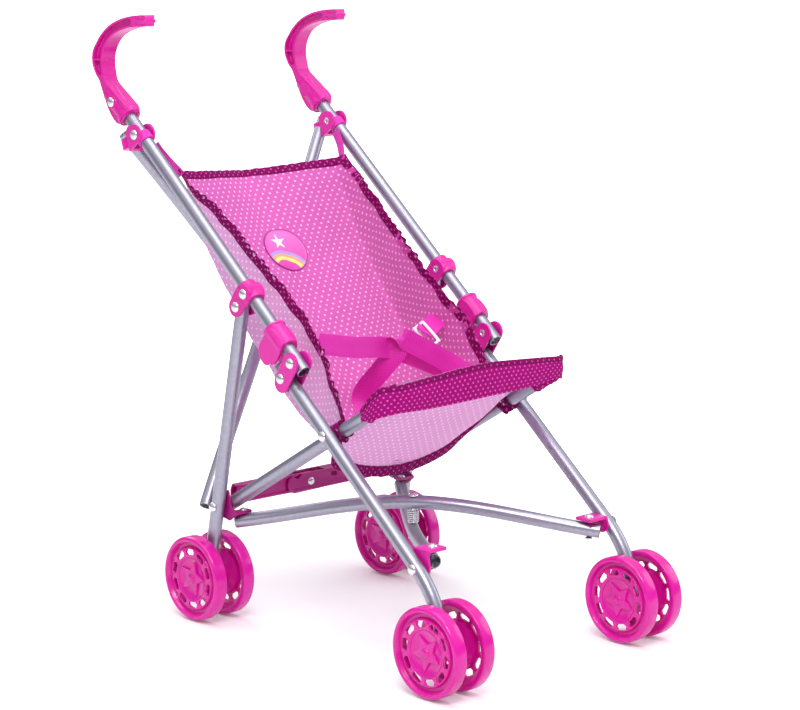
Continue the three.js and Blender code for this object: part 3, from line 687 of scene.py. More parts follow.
def cutting_rect(along_low, along_high, out_low, out_high, point_at, faces=CLIP_ROOM):
    """A block that clears a rectangle in the side view, between two planes."""
    spans = ((along_low, out_low), (along_high, out_low), (along_high, out_high), (along_low, out_high))
    return solid_slab([point_at(*corner) for corner in spans], *faces)


# ---------------------------------------------------------------- frame tubes


def handle_and_legs():
    place(tube("left_handle_shaft", [on_handle(-11.5), on_handle(345)]), "handle", "handle_tube")
    bend_radius = 91
    points = [on_handle(14, 20), on_handle(-216, 20)]
    steps = 18
    for i in range(1, steps + 1):
        turn = math.radians(45) * i / steps
        along = -216 - bend_radius * math.sin(turn)
        points.append(on_handle(along, 20 + bend_radius * (1 - math.cos(turn))))
    points.append(points[-1] + (points[-1] - points[-2]).normalized() * 8)
    place(tube("left_front_leg_tube", points), "frame", "front_leg")
    top = towards(REAR_PIVOT, REAR_HUB, -6)
    foot = towards(REAR_HUB, REAR_PIVOT, -8)
    place(tube("left_rear_leg_tube", [on_side(top), on_side(foot)]), "rear_leg_body", "rear_leg")
    front = towards(LINK_PIVOT, LINK_END, -68)
    rear = towards(LINK_END, LINK_PIVOT, -6)
    link = tube("left_seat_link_tube", [on_side(front, LINK_X), on_side(rear, LINK_X)])
    place(link, "link", "seat_link")


def brace_tube(side, bow):
    """The tube from one side's upper bracket to the other side's rear leg."""
    way = 1 if side == "left" else -1
    top = Vector((way * SIDE_X, *brace_point(0, BRACE_STAND_OFF)))
    foot = Vector((-way * SIDE_X, *BRACE_FOOT))
    reach = (foot - top).length
    points = []
    count = 25
    for i in range(count):
        part = -8 / reach + (1 + 14 / reach) * i / (count - 1)
        swell = bow * math.sin(math.pi * min(max(part, 0), 1)) ** 2
        points.append(top.lerp(foot, part) + Vector((0, *BRACE_NORMAL)) * swell)
    made = tube(side + "_back_brace_look", points)
    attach(made, side + "_back_brace")
    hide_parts(side + "_back_brace_tube")


SCISSOR_HEIGHTS = {"left": (105.5, 89.0, 93.0), "right": (95.5, 115.4, 91.0)}
SCISSOR_FLANGE = {"left": 112.8, "right": 105.4}
SCISSOR_LOW = {"left": 96.8, "right": 89.0}
SCISSOR_SPOTS = ((-103, -189), (0, -54.5), (103, 73))


def scissor_tube(side):
    way = 1 if side == "left" else -1
    path = [(way * x, y, z) for (x, y), z in zip(SCISSOR_SPOTS, SCISSOR_HEIGHTS[side])]
    made = tube(side + "_scissor_look", smooth_path(path, 33), reference=Z_AXIS)
    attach(made, side + "_scissor")
    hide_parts(side + "_scissor_tube")


# ---------------------------------------------------------------- rivets


def rivets():
    heads = (
        ("fold_rivet", on_side(FOLD, CLIP[0]), "frame", ("fold_pivot_pin",)),
        ("leg_clip_rivet", on_handle(0, 20, CLIP[0]), "frame", ()),
        ("saddle_rivet", on_handle(82.8, -0.5, CLIP[0]), "handle", ()),
        ("rear_pivot_rivet", on_side(REAR_PIVOT, CLIP[0]), "handle", ("saddle_pivot_pin",)),
        ("upper_rivet", on_side(UPPER, CLIP[0]), "upper_bracket_body", ()),
        ("grip_rivet", on_handle(329.4, 0, SIDE_X - 9.6), "handle", ()),
        ("link_rivet", on_side(LINK_PIVOT, SIDE_X - TUBE_R), "frame", ("link_pivot_pin",)),
        ("link_end_rivet", on_side(LINK_END, SIDE_X - TUBE_R), "lower_bracket_body", ()),
        ("scissor_front_rivet", on_side(SCISSOR_FRONT, SIDE_X - TUBE_R), "scissor_bracket_body", ()),
    )
    for name, spot, body, nodes in heads:
        place(rivet_head("left_" + name, spot, -X_AXIS), body, *nodes)
    tails = (
        ("fold_rivet_tail", on_side(FOLD, CLIP[1]), "frame"),
        ("leg_clip_rivet_tail", on_handle(0, 20, CLIP[1]), "frame"),
        ("rear_pivot_rivet_tail", on_side(REAR_PIVOT, CLIP[1]), "handle"),
        ("saddle_rivet_tail", on_handle(82.8, -0.5, CLIP[1]), "handle"),
        ("upper_rivet_tail", on_side(UPPER, CLIP[1]), "upper_bracket_body"),
        ("link_rivet_tail", on_side(LINK_PIVOT, LINK_X + TUBE_R - 0.6), "link"),
    )
    for name, spot, body in tails:
        place(rivet_tail("left_" + name, spot, X_AXIS), body)


def axles():
    for end, hub, body in (("front", FRONT_HUB, "frame"), ("rear", REAR_HUB, "rear_leg_body")):
        start = on_side(hub, SIDE_X - 21)
        stop = on_side(hub, SIDE_X + 21)
        shaft = rod(start, stop, 2.2, 24)
        shaft.data.materials[0] = BRIGHT
        button = rivet_head("button", start, (-1, 0, 0), 4.6, 2.1, WHEEL)
        cap = rivet_head("cap", stop, (1, 0, 0), 4.4, 1.8, WHEEL)
        place(merge("left_" + end + "_axle_look", [shaft, button, cap]), body, end + "_axle")


# ---------------------------------------------------------------- plastic brackets


def saddle():
    body = solid_slab(oblong(handle_point(82.8, 0.5), REAR_PIVOT, 10, 9, 24), *CLIP)
    cuts = [cutting_rect(60, 110, 3, 40, handle_point), rod(on_handle(50), on_handle(120), ROOM_R)]
    sleeve = rod(on_handle(73.5), on_handle(92), 9.3)
    made = moulded("left_saddle_clip", body, (), [sleeve], cuts)
    place(made, "handle", "rear_leg_saddle")


def sleeve():
    ring = rod(on_handle(17), on_handle(41), 10)
    lip = rod(on_handle(38.5), on_handle(41), 10.9)
    corners = [(20, -6), (14, 4), (14, 17), (19, 20), (19.5, 23.5)]
    corners += [(24, 26), (33, 24), (38, 17), (39, 0), (36, -6)]
    outline = smooth_outline([handle_point(*c) for c in corners], 60)
    skirt = solid_slab(outline, SIDE_X - 9.6, SIDE_X + 9.6)
    slot = cutting_rect(5, 60, 0, 40, handle_point, (SIDE_X - 7, SIDE_X + 7))
    space = rod(on_handle(0), on_handle(60), ROOM_R)
    place(moulded("left_sliding_lock", skirt, [slot], [ring, lip], [space]), "lock", "lock_sleeve")


def knuckle():
    body = solid_slab(oblong(FOLD, handle_point(-3, 22), 9.5, 9, 24), *CLIP)
    slot = cutting_rect(-30, 30, -20, 20, handle_point)
    cuts = [slot, rod(on_handle(-40, 20), on_handle(40, 20), ROOM_R)]
    place(moulded("left_leg_clip", body, cuts), "frame", "knuckle_clip")


def upper_bracket():
    outline = oblong(UPPER, brace_point(-4, 5), 9.6, 9.6, 16)[16:]
    outline += [brace_point(-13, 12), brace_point(6, 12), brace_point(9.6, 7), brace_point(9.6, 0)]
    body = solid_slab(outline, *CLIP)
    slot = [brace_point(-40, -40), brace_point(-40, 6.9), brace_point(0, 7.9)]
    slot += [brace_point(40, 33), brace_point(40, -40)]
    cuts = [solid_slab(slot, *CLIP_ROOM)]
    low, high, room_low, room_high = [
        on_side(brace_point(along, BRACE_STAND_OFF)) for along in (-9, 3, -7.8, 20)
    ]
    cap = rod(low, high, 8.2)
    room = rod(room_low, room_high, TUBE_R + 0.1)
    place(moulded("left_upper_clip", body, cuts, [cap], [room]), "upper_bracket_body", "upper_bracket")
    start = on_side(brace_point(0, BRACE_STAND_OFF + TUBE_R))
    away = Vector((0, *BRACE_NORMAL))
    head = rivet_head("left_brace_bolt", start, away, 4.2, 2)
    shaft = rod(start, on_side(brace_point(0, 11)), 2, 20)
    shaft.data.materials[0] = BRIGHT
    place(merge("left_brace_bolt", [head, shaft]), "upper_bracket_body")


def scissor_bracket(side):
    """The bracket on one front leg, mirrored for the right one."""
    pivot = SCISSOR_FRONT
    flange = SCISSOR_FLANGE[side]
    spot = (-97, -181)
    outline = oblong(pivot, (pivot[0] + 4, pivot[1]), 8, 8, 14)
    lower = [p for p in outline if p[1] < pivot[1] + 2]
    lower.sort(key=lambda p: -math.atan2(pivot[1] + 4 - p[1], p[0] - pivot[0]))
    upper = [(spot[1] + 9, flange + 3), (spot[1] - 9, flange + 3)]
    body = solid_slab(lower + upper, *PLATE)
    shelf = solid_box((PLATE[1] - 1, spot[1] - 9, flange), (spot[0] + 8, spot[1] + 9, flange + 3))
    gusset = [(PLATE[1] - 0.5, flange + 0.5), (PLATE[1] + 7, flange + 0.5), (PLATE[1] - 0.5, flange - 7)]
    web = solid_slab(gusset, spot[1] + 6, spot[1] + 8, "y")
    made = moulded("left_scissor_clip", body, (), [shelf, web], voxel=0.35)
    top = (spot[0], spot[1], flange + 3)
    head = rivet_head("head", top, (0, 0, 1), 4.4, 2.4)
    tail = rivet_tail("tail", (spot[0], spot[1], SCISSOR_LOW[side]), (0, 0, -1))
    shaft = rod(top, (spot[0], spot[1], SCISSOR_LOW[side]), 2, 20)
    shaft.data.materials[0] = DARK
    pin = merge("left_scissor_bolt_look", [head, tail, shaft])
    for piece in (made, pin):
        if side == "right":
            mirror_mesh(piece.data)
            piece.name = piece.name.replace("left_", "right_")
        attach(piece, side + "_scissor_bracket_body")
    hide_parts(side + "_scissor_bracket")


def lower_bracket():
    low = SCISSOR_HEIGHTS["left"][2] + TUBE_R + 0.4
    thick = 2.6
    outline = [(62.5, low), (72, 93), (95, 97), (95, 104.5), (89, 107), (86, 121), (74, 121), (70, 106)]
    outline.append((62.5, low + thick))
    body = solid_slab(outline, *PLATE)
    room = rod(on_side(LINK_END, PLATE[1]), on_side(LINK_END, -80), 10.2)
    shelf = solid_box((PLATE[1] - 1, 62.5, low), (-92.5, 84, low + thick))
    combine(shelf, [room], "DIFFERENCE")
    arm = solid_box((PLATE[1] - 1, 91.3, 98), (-93.5, 95, 105))
    made = moulded("left_lower_clip", body, (), [shelf, arm], material=LOCK, voxel=0.35)
    place(made, "lower_bracket_body", "lower_bracket")
    head = rivet_head("left_shelf_bolt", (-99, 67, low + thick), (0, 0, 1), 3.5, 2)
    place(head, "lower_bracket_body")


def lock_brace(side, start, end, half_width, web_end):
    """One half of the folding lock brace: a channel from its bracket to the middle pivot."""
    direction = 1 if end > start else -1
    middle_y, middle_z, height = 88, 112, 9
    outline = [
        (start + direction * 2, middle_z - height + 2),
        (end - direction * 8, middle_z - height),
        (end - direction * 2, middle_z - 6),
        (end, middle_z),
        (end - direction * 2, middle_z + 6),
        (end - direction * 8, middle_z + height),
        (start + direction * 2, middle_z + height),
        (start, middle_z + 4),
        (start, middle_z - 4),
    ]
    body = solid_slab(outline, middle_y - half_width, middle_y + half_width, "y")
    xs = sorted((start - direction * 9, end + direction * 9))
    inner = (middle_y - half_width + 1.8, middle_y + half_width - 1.8)
    inside = solid_box((xs[0], inner[0], middle_z - 30), (xs[1], inner[1], middle_z + height - 1.8))
    xs = sorted((web_end, end + direction * 9))
    opening = solid_box((xs[0], inner[0], middle_z), (xs[1], inner[1], middle_z + 30))
    face = middle_y - half_width
    rims = []
    run = sorted((start + direction * 6, end - direction * 9))
    for level in (middle_z + height - 1.3, middle_z - height + 2.4):
        rims.append(solid_box((run[0], face - 1.1, level - 1.1), (run[1], face + 0.6, level + 1.1)))
    cuts = []
    if side == "right":
        notch_z = middle_z + height + 1
        cuts.append(rod((-22, face - 5, notch_z), (-22, face + 4, notch_z), 5))
        cuts.append(solid_box((20, face - 3, middle_z + 1), (27, face + 4, middle_z + 5)))
    made = moulded(side + "_lock_brace_half", body, [inside, opening], rims, cuts, LOCK)
    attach(made, side + "_lock_brace_body")
    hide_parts(side + "_lock_brace")
    if side == "right":
        pin = rivet_head("lock_brace_pin", (-5, face, middle_z), (0, -1, 0), 4.0, 1.8)
        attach(pin, "right_lock_brace_body")


# ---------------------------------------------------------------- wheels


def star_relief(radius, notch, low, high):
    """A five-pointed star that rises to a point in the middle."""
    outline = []
    for i in range(10):
        reach = radius if i % 2 == 0 else notch
        turn = math.pi / 2 + i * math.pi / 5
        outline.append((reach * math.cos(turn), reach * math.sin(turn)))
    verts = [(a, b, low) for a, b in outline] + [(a * 0.96, b * 0.96, high - 0.4) for a, b in outline]
    verts.append((0, 0, high))
    faces = [tuple(range(10))[::-1]]
    faces += [(i, (i + 1) % 10, (i + 1) % 10 + 10, i + 10) for i in range(10)]
    faces += [(i + 10, (i + 1) % 10 + 10, 20) for i in range(10)]
    return verts, faces


def slot_cutter(middle):
    """A block in the shape of one of the wheel's slots, at an angle round the hub."""
    outline = []
    for edge_r, way in ((27.6, 1), (21.9, -1)):
        turns = [middle + way * (0.34 * k / 8 - 0.17) for k in range(9)]
        outline += [(edge_r * math.cos(turn), edge_r * math.sin(turn)) for turn in turns]
        tip = middle + way * 0.25
        outline.append((24.5 * math.cos(tip), 24.5 * math.sin(tip)))
    verts = [(a, b, -20) for a, b in outline] + [(a, b, 20) for a, b in outline]
    return add_mesh("cutter", verts, prism_faces(len(outline)), WHEEL)


def wheel_mesh():
    """One wheel about the Z axis with its outer face up."""
    profile = [
        (2.5, -6), (6.5, -6), (6.5, -1.8), (7.2, -1.6), (20.0, -1.6), (20.6, 2.6), (28.4, 2.6),
        (29.0, -1.0), (32.6, -1.6), (33.1, -2.2), (33.4, -6.1), (33.9, -6.45),
        (38.0, -6.45), (38.8, -6.0), (39, -5.2), (39, 3.6), (38.6, 4.9), (37.8, 5.8), (36.6, 6.35),
        (35.3, 6.4), (34.5, 6.0), (34.0, 5.2), (33.0, 1.6), (32.4, 1.1), (29.9, 1.1), (29.3, 1.6),
        (28.9, 4.1), (28.3, 4.6),
        (21.2, 4.6), (20.4, 4.3), (19.6, 3.6), (8.0, 1.9), (7.4, 2.0), (6.9, 3.9), (6.3, 4.2), (2.5, 4.2),
    ]
    made = lathe("wheel", profile, (0, 0, 0), (0, 0, 1), WHEEL, 96, close=True)
    cutters = [slot_cutter(2 * math.pi * i / 10) for i in range(10)]
    combine(made, [merge("cutters", cutters)], "DIFFERENCE")
    bevel(made, 0.35, 2, 50)
    star = add_mesh("star", *star_relief(17.5, 8.2, 1.0, 4.6), WHEEL)
    bevel(star, 0.5, 2, 20)
    ring_profile = [(18.6, 3.2), (18.9, 4.0), (19.4, 4.1), (19.8, 3.4)]
    lip = lathe("lip", ring_profile, (0, 0, 0), (0, 0, 1), WHEEL, 96)
    return merge("wheel", [made, star, lip])


def wheels():
    master = wheel_mesh()
    for side, way in (("left", 1), ("right", -1)):
        for end, hub, lean in (("front", FRONT_HUB, 12), ("rear", REAR_HUB, 40)):
            for row, shift, facing in (("outer", -16.55, -1), ("inner", 16.55, 1)):
                name = f"{side}_{end}_{row}_wheel"
                centre = Vector((way * (SIDE_X + shift), *hub)) * MM
                face = Matrix.Rotation(math.radians(90 * facing * way), 4, "Y")
                spin = Matrix.Rotation(math.radians(lean), 4, "Z")
                made = add_object(name + "_look", master.data.copy())
                made.data.transform(Matrix.Translation(centre) @ face @ spin)
                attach(made, name + "_body")
                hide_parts(name)
    bpy.data.objects.remove(master)


# ---------------------------------------------------------------- grips

# The hook's outer and inner edges, from the socket to the tip.
HOOK = (
    ((240, 484.5), (231.5, 485)),
    ((246, 491), (234.6, 492.5)),
    ((251.5, 501.2), (236.5, 501.5)),
    ((251.2, 511.8), (235.4, 510.8)),
    ((245.8, 520), (231.5, 518.5)),
    ((237.1, 529.2), (224.5, 525.8)),
    ((224.9, 537.5), (214.5, 530.8)),
    ((210, 543.2), (204, 534)),
    ((195.3, 546.3), (195, 536)),
    ((183, 547.6), (183.5, 537)),
)


def grip():
    corners = [handle_point(309, 9), handle_point(328, 10)]
    corners += [outer for outer, _ in HOOK]
    corners += [(175.5, 547.6), (173.2, 543), (175.2, 537.6)]
    corners += [inner for _, inner in reversed(HOOK)]
    corners += [handle_point(334, -8.2), handle_point(325, -9.2), handle_point(309, -9)]
    body = solid_slab(smooth_outline(corners, 130), SIDE_X - 8, SIDE_X + 8)
    lip = 2.3
    far_side = [towards(outer, inner, lip) for outer, inner in HOOK[1:-1]]
    near_side = [towards(inner, outer, lip) for outer, inner in HOOK[1:-1]]
    channel = smooth_outline(far_side + near_side[::-1], 90)
    cuts = [solid_slab(channel, SIDE_X - 12, SIDE_X - 3), solid_slab(channel, SIDE_X + 3, SIDE_X + 12)]
    for side in (-1, 1):
        for out, levels, end, drop in ((8.3, (545.2, 540.0), 190, 0.6), (2.8, (549.0, 535.9), 189, 0.4)):
            x = SIDE_X + side * out
            cuts += [rod((x, 160, z), (x, end, z - drop), 2.0, 16) for z in levels]
    adds = [rod(on_handle(308), on_handle(342), 9.8), rod(on_handle(308), on_handle(312.5), 10.9)]
    adds.append(rod(on_handle(329.4, 0, SIDE_X - 10), on_handle(329.4, 0, SIDE_X + 10), 6.4))
    for side in (-1, 1):
        inner, outer = sorted((SIDE_X + side * 2, SIDE_X + side * 7.4))
        adds.append(solid_box((inner, 236, 504.0), (outer, 252, 505.2)))
    last = [rod(on_handle(280), on_handle(346), 6.5)]
    made = moulded("left_grip", body, cuts, adds, last, voxel=0.45)
    toe_in = 0.02
    for vertex in made.data.vertices:
        over = max(0.0, vertex.co.z - 0.475) + max(0.0, 0.235 - vertex.co.y) * (vertex.co.z > 0.5)
        vertex.co.x += toe_in * over
        at_tip = min(1.0, max(0.0, (0.200 - vertex.co.y) / 0.012)) * (vertex.co.z > 0.5)
        vertex.co.x -= 0.2 * at_tip * (vertex.co.x - SIDE_X * MM)
    place(made, "handle", "handle_grip")


# ---------------------------------------------------------------- cloth

BACK_ROWS = (
    ((-103, 154, 407), (-92, 161, 405), (186, 398)),
    ((-95, 99, 371), (-93, 131, 346), (147, 353)),
    ((-90, 60, 340), (-92, 100, 302), (113, 313)),
    ((-87, 22, 311), (-91, 68, 263), (75, 268)),
    ((-88, -12, 284), (-89, 33, 226), (37, 225)),
    ((-90, -32, 266), (-86, 0, 195), (0, 183)),
    ((-94, -58, 224), (-82, -33, 173), (-33, 148)),
)
BASE_ROWS = (
    ((-95.8, -69, 203), (-82, -38, 170), (-60, -37, 157), (-30, -36, 149), (0, -36, 146)),
    ((-95.8, -82, 212), (-84, -61, 184), (-60, -58, 175), (-30, -57, 169), (0, -57, 167)),
    ((-97, -100, 225), (-87, -88, 210), (-60, -85, 203), (-30, -84, 199), (0, -84, 198)),
    ((-100, -118, 237), (-90, -114, 234), (-60, -112, 230), (-30, -111, 229), (0, -111, 228)),
    ((-104, -137, 247.5), (-90, -139, 249.5), (-60, -140.5, 251), (-30, -141, 253.5), (0, -141.5, 255)),
)
BAND_TOP = (
    (-110.6, -108, 225.5), (-111, -119, 237), (-110.2, -130, 245.5), (-105, -137.5, 247.5),
    (-96, -140.5, 248), (-60, -141.5, 251), (0, -142.5, 255), (60, -141.5, 252),
    (98, -139.5, 249), (106, -136.5, 248.5), (110, -130, 248),
)
BAND_FOOT = (
    (-110.6, -107, 212.5), (-111.2, -118, 215.5), (-110.6, -130, 219.5), (-105.5, -138.5, 222.5),
    (-96, -141.5, 223.6), (-60, -142, 223), (0, -143, 224.5), (60, -142, 226),
    (92, -141, 229), (104, -138.5, 227), (110.6, -130, 226),
)
BACK_STEPS = 120
WING_STEPS = 22
FLOOR_STEPS = 44
BASE_STEPS = 90
BASE_ACROSS = 60
HEM_STEPS = 6
HEM_HALF_THICK = 0.75


def ruffle(along, phase):
    """A wavering height, for gathered hems."""
    slow = noise.noise(Vector((along * 0.045 + phase, phase, 0)))
    return math.sin(along * 0.62 + 3.5 * slow + phase) * (0.65 + 0.5 * slow)


def wrinkle(point, size, seed=0.0):
    return noise.noise(Vector(point) / size + Vector((seed, seed * 0.7, 0)))


def back_surface():
    """Rows of points from the top hem to the crease. Columns run from the left hem to the right one."""
    hems = smooth_path([Vector(row[0]) for row in BACK_ROWS], BACK_STEPS)
    folds = smooth_path([Vector(row[1]) for row in BACK_ROWS], BACK_STEPS)
    middles = smooth_path([Vector((0, *row[2])) for row in BACK_ROWS], BACK_STEPS)
    rows = []
    for hem, fold, middle in zip(hems, folds, middles):
        half = []
        for k in range(WING_STEPS):
            half.append(hem.lerp(fold, k / WING_STEPS))
        for k in range(FLOOR_STEPS + 1):
            half.append(fold.lerp(middle, k / FLOOR_STEPS))
        for _ in range(3):
            low, high = WING_STEPS - 4, WING_STEPS + 4
            soft = list(half)
            for k in range(low, high):
                soft[k] = (half[k - 1] + half[k] * 2 + half[k + 1]) / 4
            half = soft
        other = [Vector((-p.x, p.y, p.z)) for p in half[:-1]]
        rows.append(half + other[::-1])
    return rows


def base_surface():
    """Rows of points from the crease to the raised front lip. Columns run from left to right."""
    columns = [smooth_path([Vector(row[c]) for row in BASE_ROWS], BASE_STEPS) for c in range(5)]
    rows = []
    for r in range(BASE_STEPS):
        half = smooth_path([column[r] for column in columns], BASE_ACROSS)
        other = [Vector((-p.x, p.y, p.z)) for p in half[:-1]]
        rows.append(half + other[::-1])
    return rows


def normals_of(rows):
    count = len(rows)
    width = len(rows[0])
    made = []
    for r in range(count):
        line = []
        for c in range(width):
            down = rows[min(r + 1, count - 1)][c] - rows[max(r - 1, 0)][c]
            over = rows[r][min(c + 1, width - 1)] - rows[r][max(c - 1, 0)]
            line.append(down.cross(over).normalized())
        made.append(line)
    return made


def flat_map(rows):
    """Each point's place on the flat cloth, in millimetres from the middle of the top edge."""
    middle = len(rows[0]) // 2
    down = lengths_along([row[middle] for row in rows])
    made = []
    for r, row in enumerate(rows):
        over = lengths_along(row)
        made.append([(o - over[middle], down[r]) for o in over])
    return made


def cloth_piece(name, rows, spots, columns, material, normals):
    """A mesh over some of a surface's columns."""
    verts = [row[c] for row in rows for c in columns]
    uv = [tuple(value * MM for value in line[c]) for line in spots for c in columns]
    faces = []
    count = len(columns)
    for r in range(len(rows) - 1):
        for k in range(count - 1):
            a = r * count + k
            faces.append((a, a + count, a + count + 1, a + 1))
    made = add_mesh(name, verts, faces, material, uv)
    made.data.normals_split_custom_set_from_vertices([line[c] for line in normals for c in columns])
    return made


def strip_solid(name, centres, normals, half_thick, spots, material):
    """A closed, flat strip over a grid of points: two faces and a round edge."""
    rows = len(centres)
    columns = len(centres[0])
    verts = []
    uv = []
    for side in (1, -1):
        for r in range(rows):
            for c in range(columns):
                edge = min(c, columns - 1 - c)
                thick = half_thick * (0.25 if edge == 0 else 0.8 if edge == 1 else 1.0)
                verts.append(centres[r][c] + normals[r][c] * side * thick)
                uv.append(tuple(value * MM for value in spots[r][c]))
    faces = []
    size = rows * columns
    for r in range(rows - 1):
        for c in range(columns - 1):
            a = r * columns + c
            faces.append((a, a + columns, a + columns + 1, a + 1))
            b = size + a
            faces.append((b, b + 1, b + columns + 1, b + columns))
        for c in (0, columns - 1):
            a = r * columns + c
            b = size + a
            faces.append((a, b, b + columns, a + columns) if c == 0 else (a, a + columns, b + columns, b))
    for r in (0, rows - 1):
        for c in range(columns - 1):
            a = r * columns + c
            b = size + a
            faces.append((a, a + 1, b + 1, b) if r == 0 else (a, b, b + 1, a + 1))
    return shade(add_mesh(name, verts, faces, material, uv), 60)


def hem_grid(points, inward, normals, width, wave, phase, outside=0.0, fade=1.0):
    """A ruffled strip that starts `outside` an edge and runs inward, flat at its inner side."""
    arc = lengths_along(points)
    grid = []
    for i, point in enumerate(points):
        row = []
        for k in range(HEM_STEPS + 1):
            t = k / HEM_STEPS
            swing = wave * ruffle(arc[i], phase) * (1 - t) ** fade
            row.append(point + inward[i] * (-outside + (width + outside) * t) + normals[i] * swing)
        grid.append(row)
    spots = [[(k * width / HEM_STEPS, gone) for k in range(HEM_STEPS + 1)] for gone in arc]
    return grid, spots, [[normals[i]] * (HEM_STEPS + 1) for i in range(len(points))]


def crumple_back(rows):
    """Adds folds, sag and gathered side edges to the seat back."""
    normals = normals_of(rows)
    width = len(rows[0])
    made = []
    for r, row in enumerate(rows):
        down = r / (len(rows) - 1)
        line = []
        for c, point in enumerate(row):
            side = min(c, width - 1 - c)
            on_wing = max(0.0, 1 - side / WING_STEPS)
            on_floor = min(1.0, max(0.0, (side - WING_STEPS) / FLOOR_STEPS))
            shift = 1.6 * wrinkle(point, 34, 2.0) + 0.7 * wrinkle(point, 13, 5.0)
            shift += 2.2 * max(0.0, down - 0.55) * wrinkle((point.x * 0.4, point.y, point.z), 16, 8.0)
            shift += 3.0 * math.sin(math.pi * on_floor) * math.sin(math.pi * down) ** 2
            shift += 1.3 * on_wing * math.sin(down * 46 + 2 * wrinkle(point, 30, 1.0)) * on_wing
            line.append(point + normals[r][c] * shift)
        made.append(line)
    return made


def crumple_base(rows):
    normals = normals_of(rows)
    width = len(rows[0])
    made = []
    for r, row in enumerate(rows):
        along = r / (len(rows) - 1)
        line = []
        for c, point in enumerate(row):
            across = abs(c / (width - 1) - 0.5) * 2
            inside = math.sin(math.pi * along)
            shift = 1.2 * wrinkle((point.x * 0.5, point.y, point.z), 15, 3.0) * inside
            pull = math.sin((point.x + 20 * along) * 0.16) * max(0.0, across - 0.45) * inside
            line.append(point + normals[r][c] * (shift + 1.3 * pull))
        made.append(line)
    return made


def ride_side(made, side, on_base):
    """Cloth on one side moves with the handle; cloth on the base keeps its place, with its transform
    baked into the mesh.
    """
    if not on_base:
        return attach(made, side + "_handle")
    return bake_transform(made)


def split_cloth(name, rows, spots, material, on_base, nodes=()):
    """The left and right halves of one cloth surface, which meet at the middle."""
    normals = normals_of(rows)
    middle = len(rows[0]) // 2
    halves = (("left", range(0, middle + 1)), ("right", range(middle, len(rows[0]))))
    made = []
    for side, columns in halves:
        piece = cloth_piece(f"{side}_{name}", rows, spots, columns, material, normals)
        ride_side(piece, side, on_base)
        for node in nodes:
            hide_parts(f"{side}_{node}")
        made.append(piece)
    return made


def side_hem(name, rows, normals, column, on_base, width, wave, phase):
    """A ruffled hem down the left side towards a column of the cloth, and its mirrored twin."""
    edge = [row[0] for row in rows]
    inward = directions(edge, [row[column] for row in rows])
    near_edge = [line[1] for line in normals]
    grid, spots, grid_normals = hem_grid(edge, inward, near_edge, width, wave, phase, 1.2, 1.2)
    made = strip_solid("left_" + name, grid, grid_normals, HEM_HALF_THICK, spots, HEM_DOTS)
    twin = mirrored(made, "right_" + name)
    ride_side(made, "left", on_base)
    ride_side(twin, "right", on_base)


def cross_hem(name, points, inward, normals, on_base, width, wave, phase):
    """A hem across the whole seat, in two halves."""
    middle = len(points) // 2
    grid, spots, grid_normals = hem_grid(points, inward, normals, width, wave, phase)
    for side, part in (("left", slice(0, middle + 1)), ("right", slice(middle, len(points)))):
        strip = (grid[part], grid_normals[part], HEM_HALF_THICK, spots[part], HEM_DOTS)
        ride_side(strip_solid(f"{side}_{name}", *strip), side, on_base)


def directions(points, others):
    return [(b - a).normalized() for a, b in zip(points, others)]


def front_band():
    """Rows of points from the band's top edge to its lower one, round the seat's front corners."""
    top = smooth_path([Vector(p) for p in BAND_TOP], 181)
    foot = smooth_path([Vector(p) for p in BAND_FOOT], 181)
    rows = []
    for r in range(13):
        down = r / 12
        line = []
        for high, low in zip(top, foot):
            point = high.lerp(low, down)
            fold = 0.9 * wrinkle((point.x * 0.6, 0, point.z * 0.25), 7, 4.0) * math.sin(math.pi * down)
            bulge = 1.6 * math.sin(math.pi * down)
            away = Vector((0, -1, 0)) if abs(point.x) < 104 else Vector((math.copysign(1, point.x), 0, 0))
            line.append(point + away * (bulge + fold))
        rows.append(line)
    return rows


def seat():
    back = crumple_back(back_surface())
    base = crumple_base(base_surface())
    base[0] = resampled(back[-1], len(base[0]))
    back_pieces = split_cloth("seat_back_cloth", back, flat_map(back), CLOTH, False, ["seat_back"])
    base_pieces = split_cloth("seat_base_cloth", base, flat_map(base), CLOTH, True, ["seat_base"])
    band = front_band()
    split_cloth("front_band", band, flat_map(band), BAND, True)
    back_normals = normals_of(back)
    side_hem("side_hem", back, back_normals, 4, False, 8.5, 1.8, 0.4)
    cross_hem("top_hem", back[0], directions(back[0], back[4]), back_normals[0], False, 8.5, 1.0, 1.3)
    band_normals = normals_of(band)
    cross_hem("front_hem", band[0], directions(band[0], band[2]), band_normals[0], True, 5.0, 0.8, 2.1)
    down = [Vector((0, 0.35, -0.94))] * len(base[1])
    forward = [Vector((0, -0.94, -0.35))] * len(base[1])
    cross_hem("crease_hem", base[1], down, forward, True, 11.0, 1.2, 3.2)
    side_hem("base_side_hem", base, normals_of(base), 3, True, 7, 1.2, 0.9)
    return back


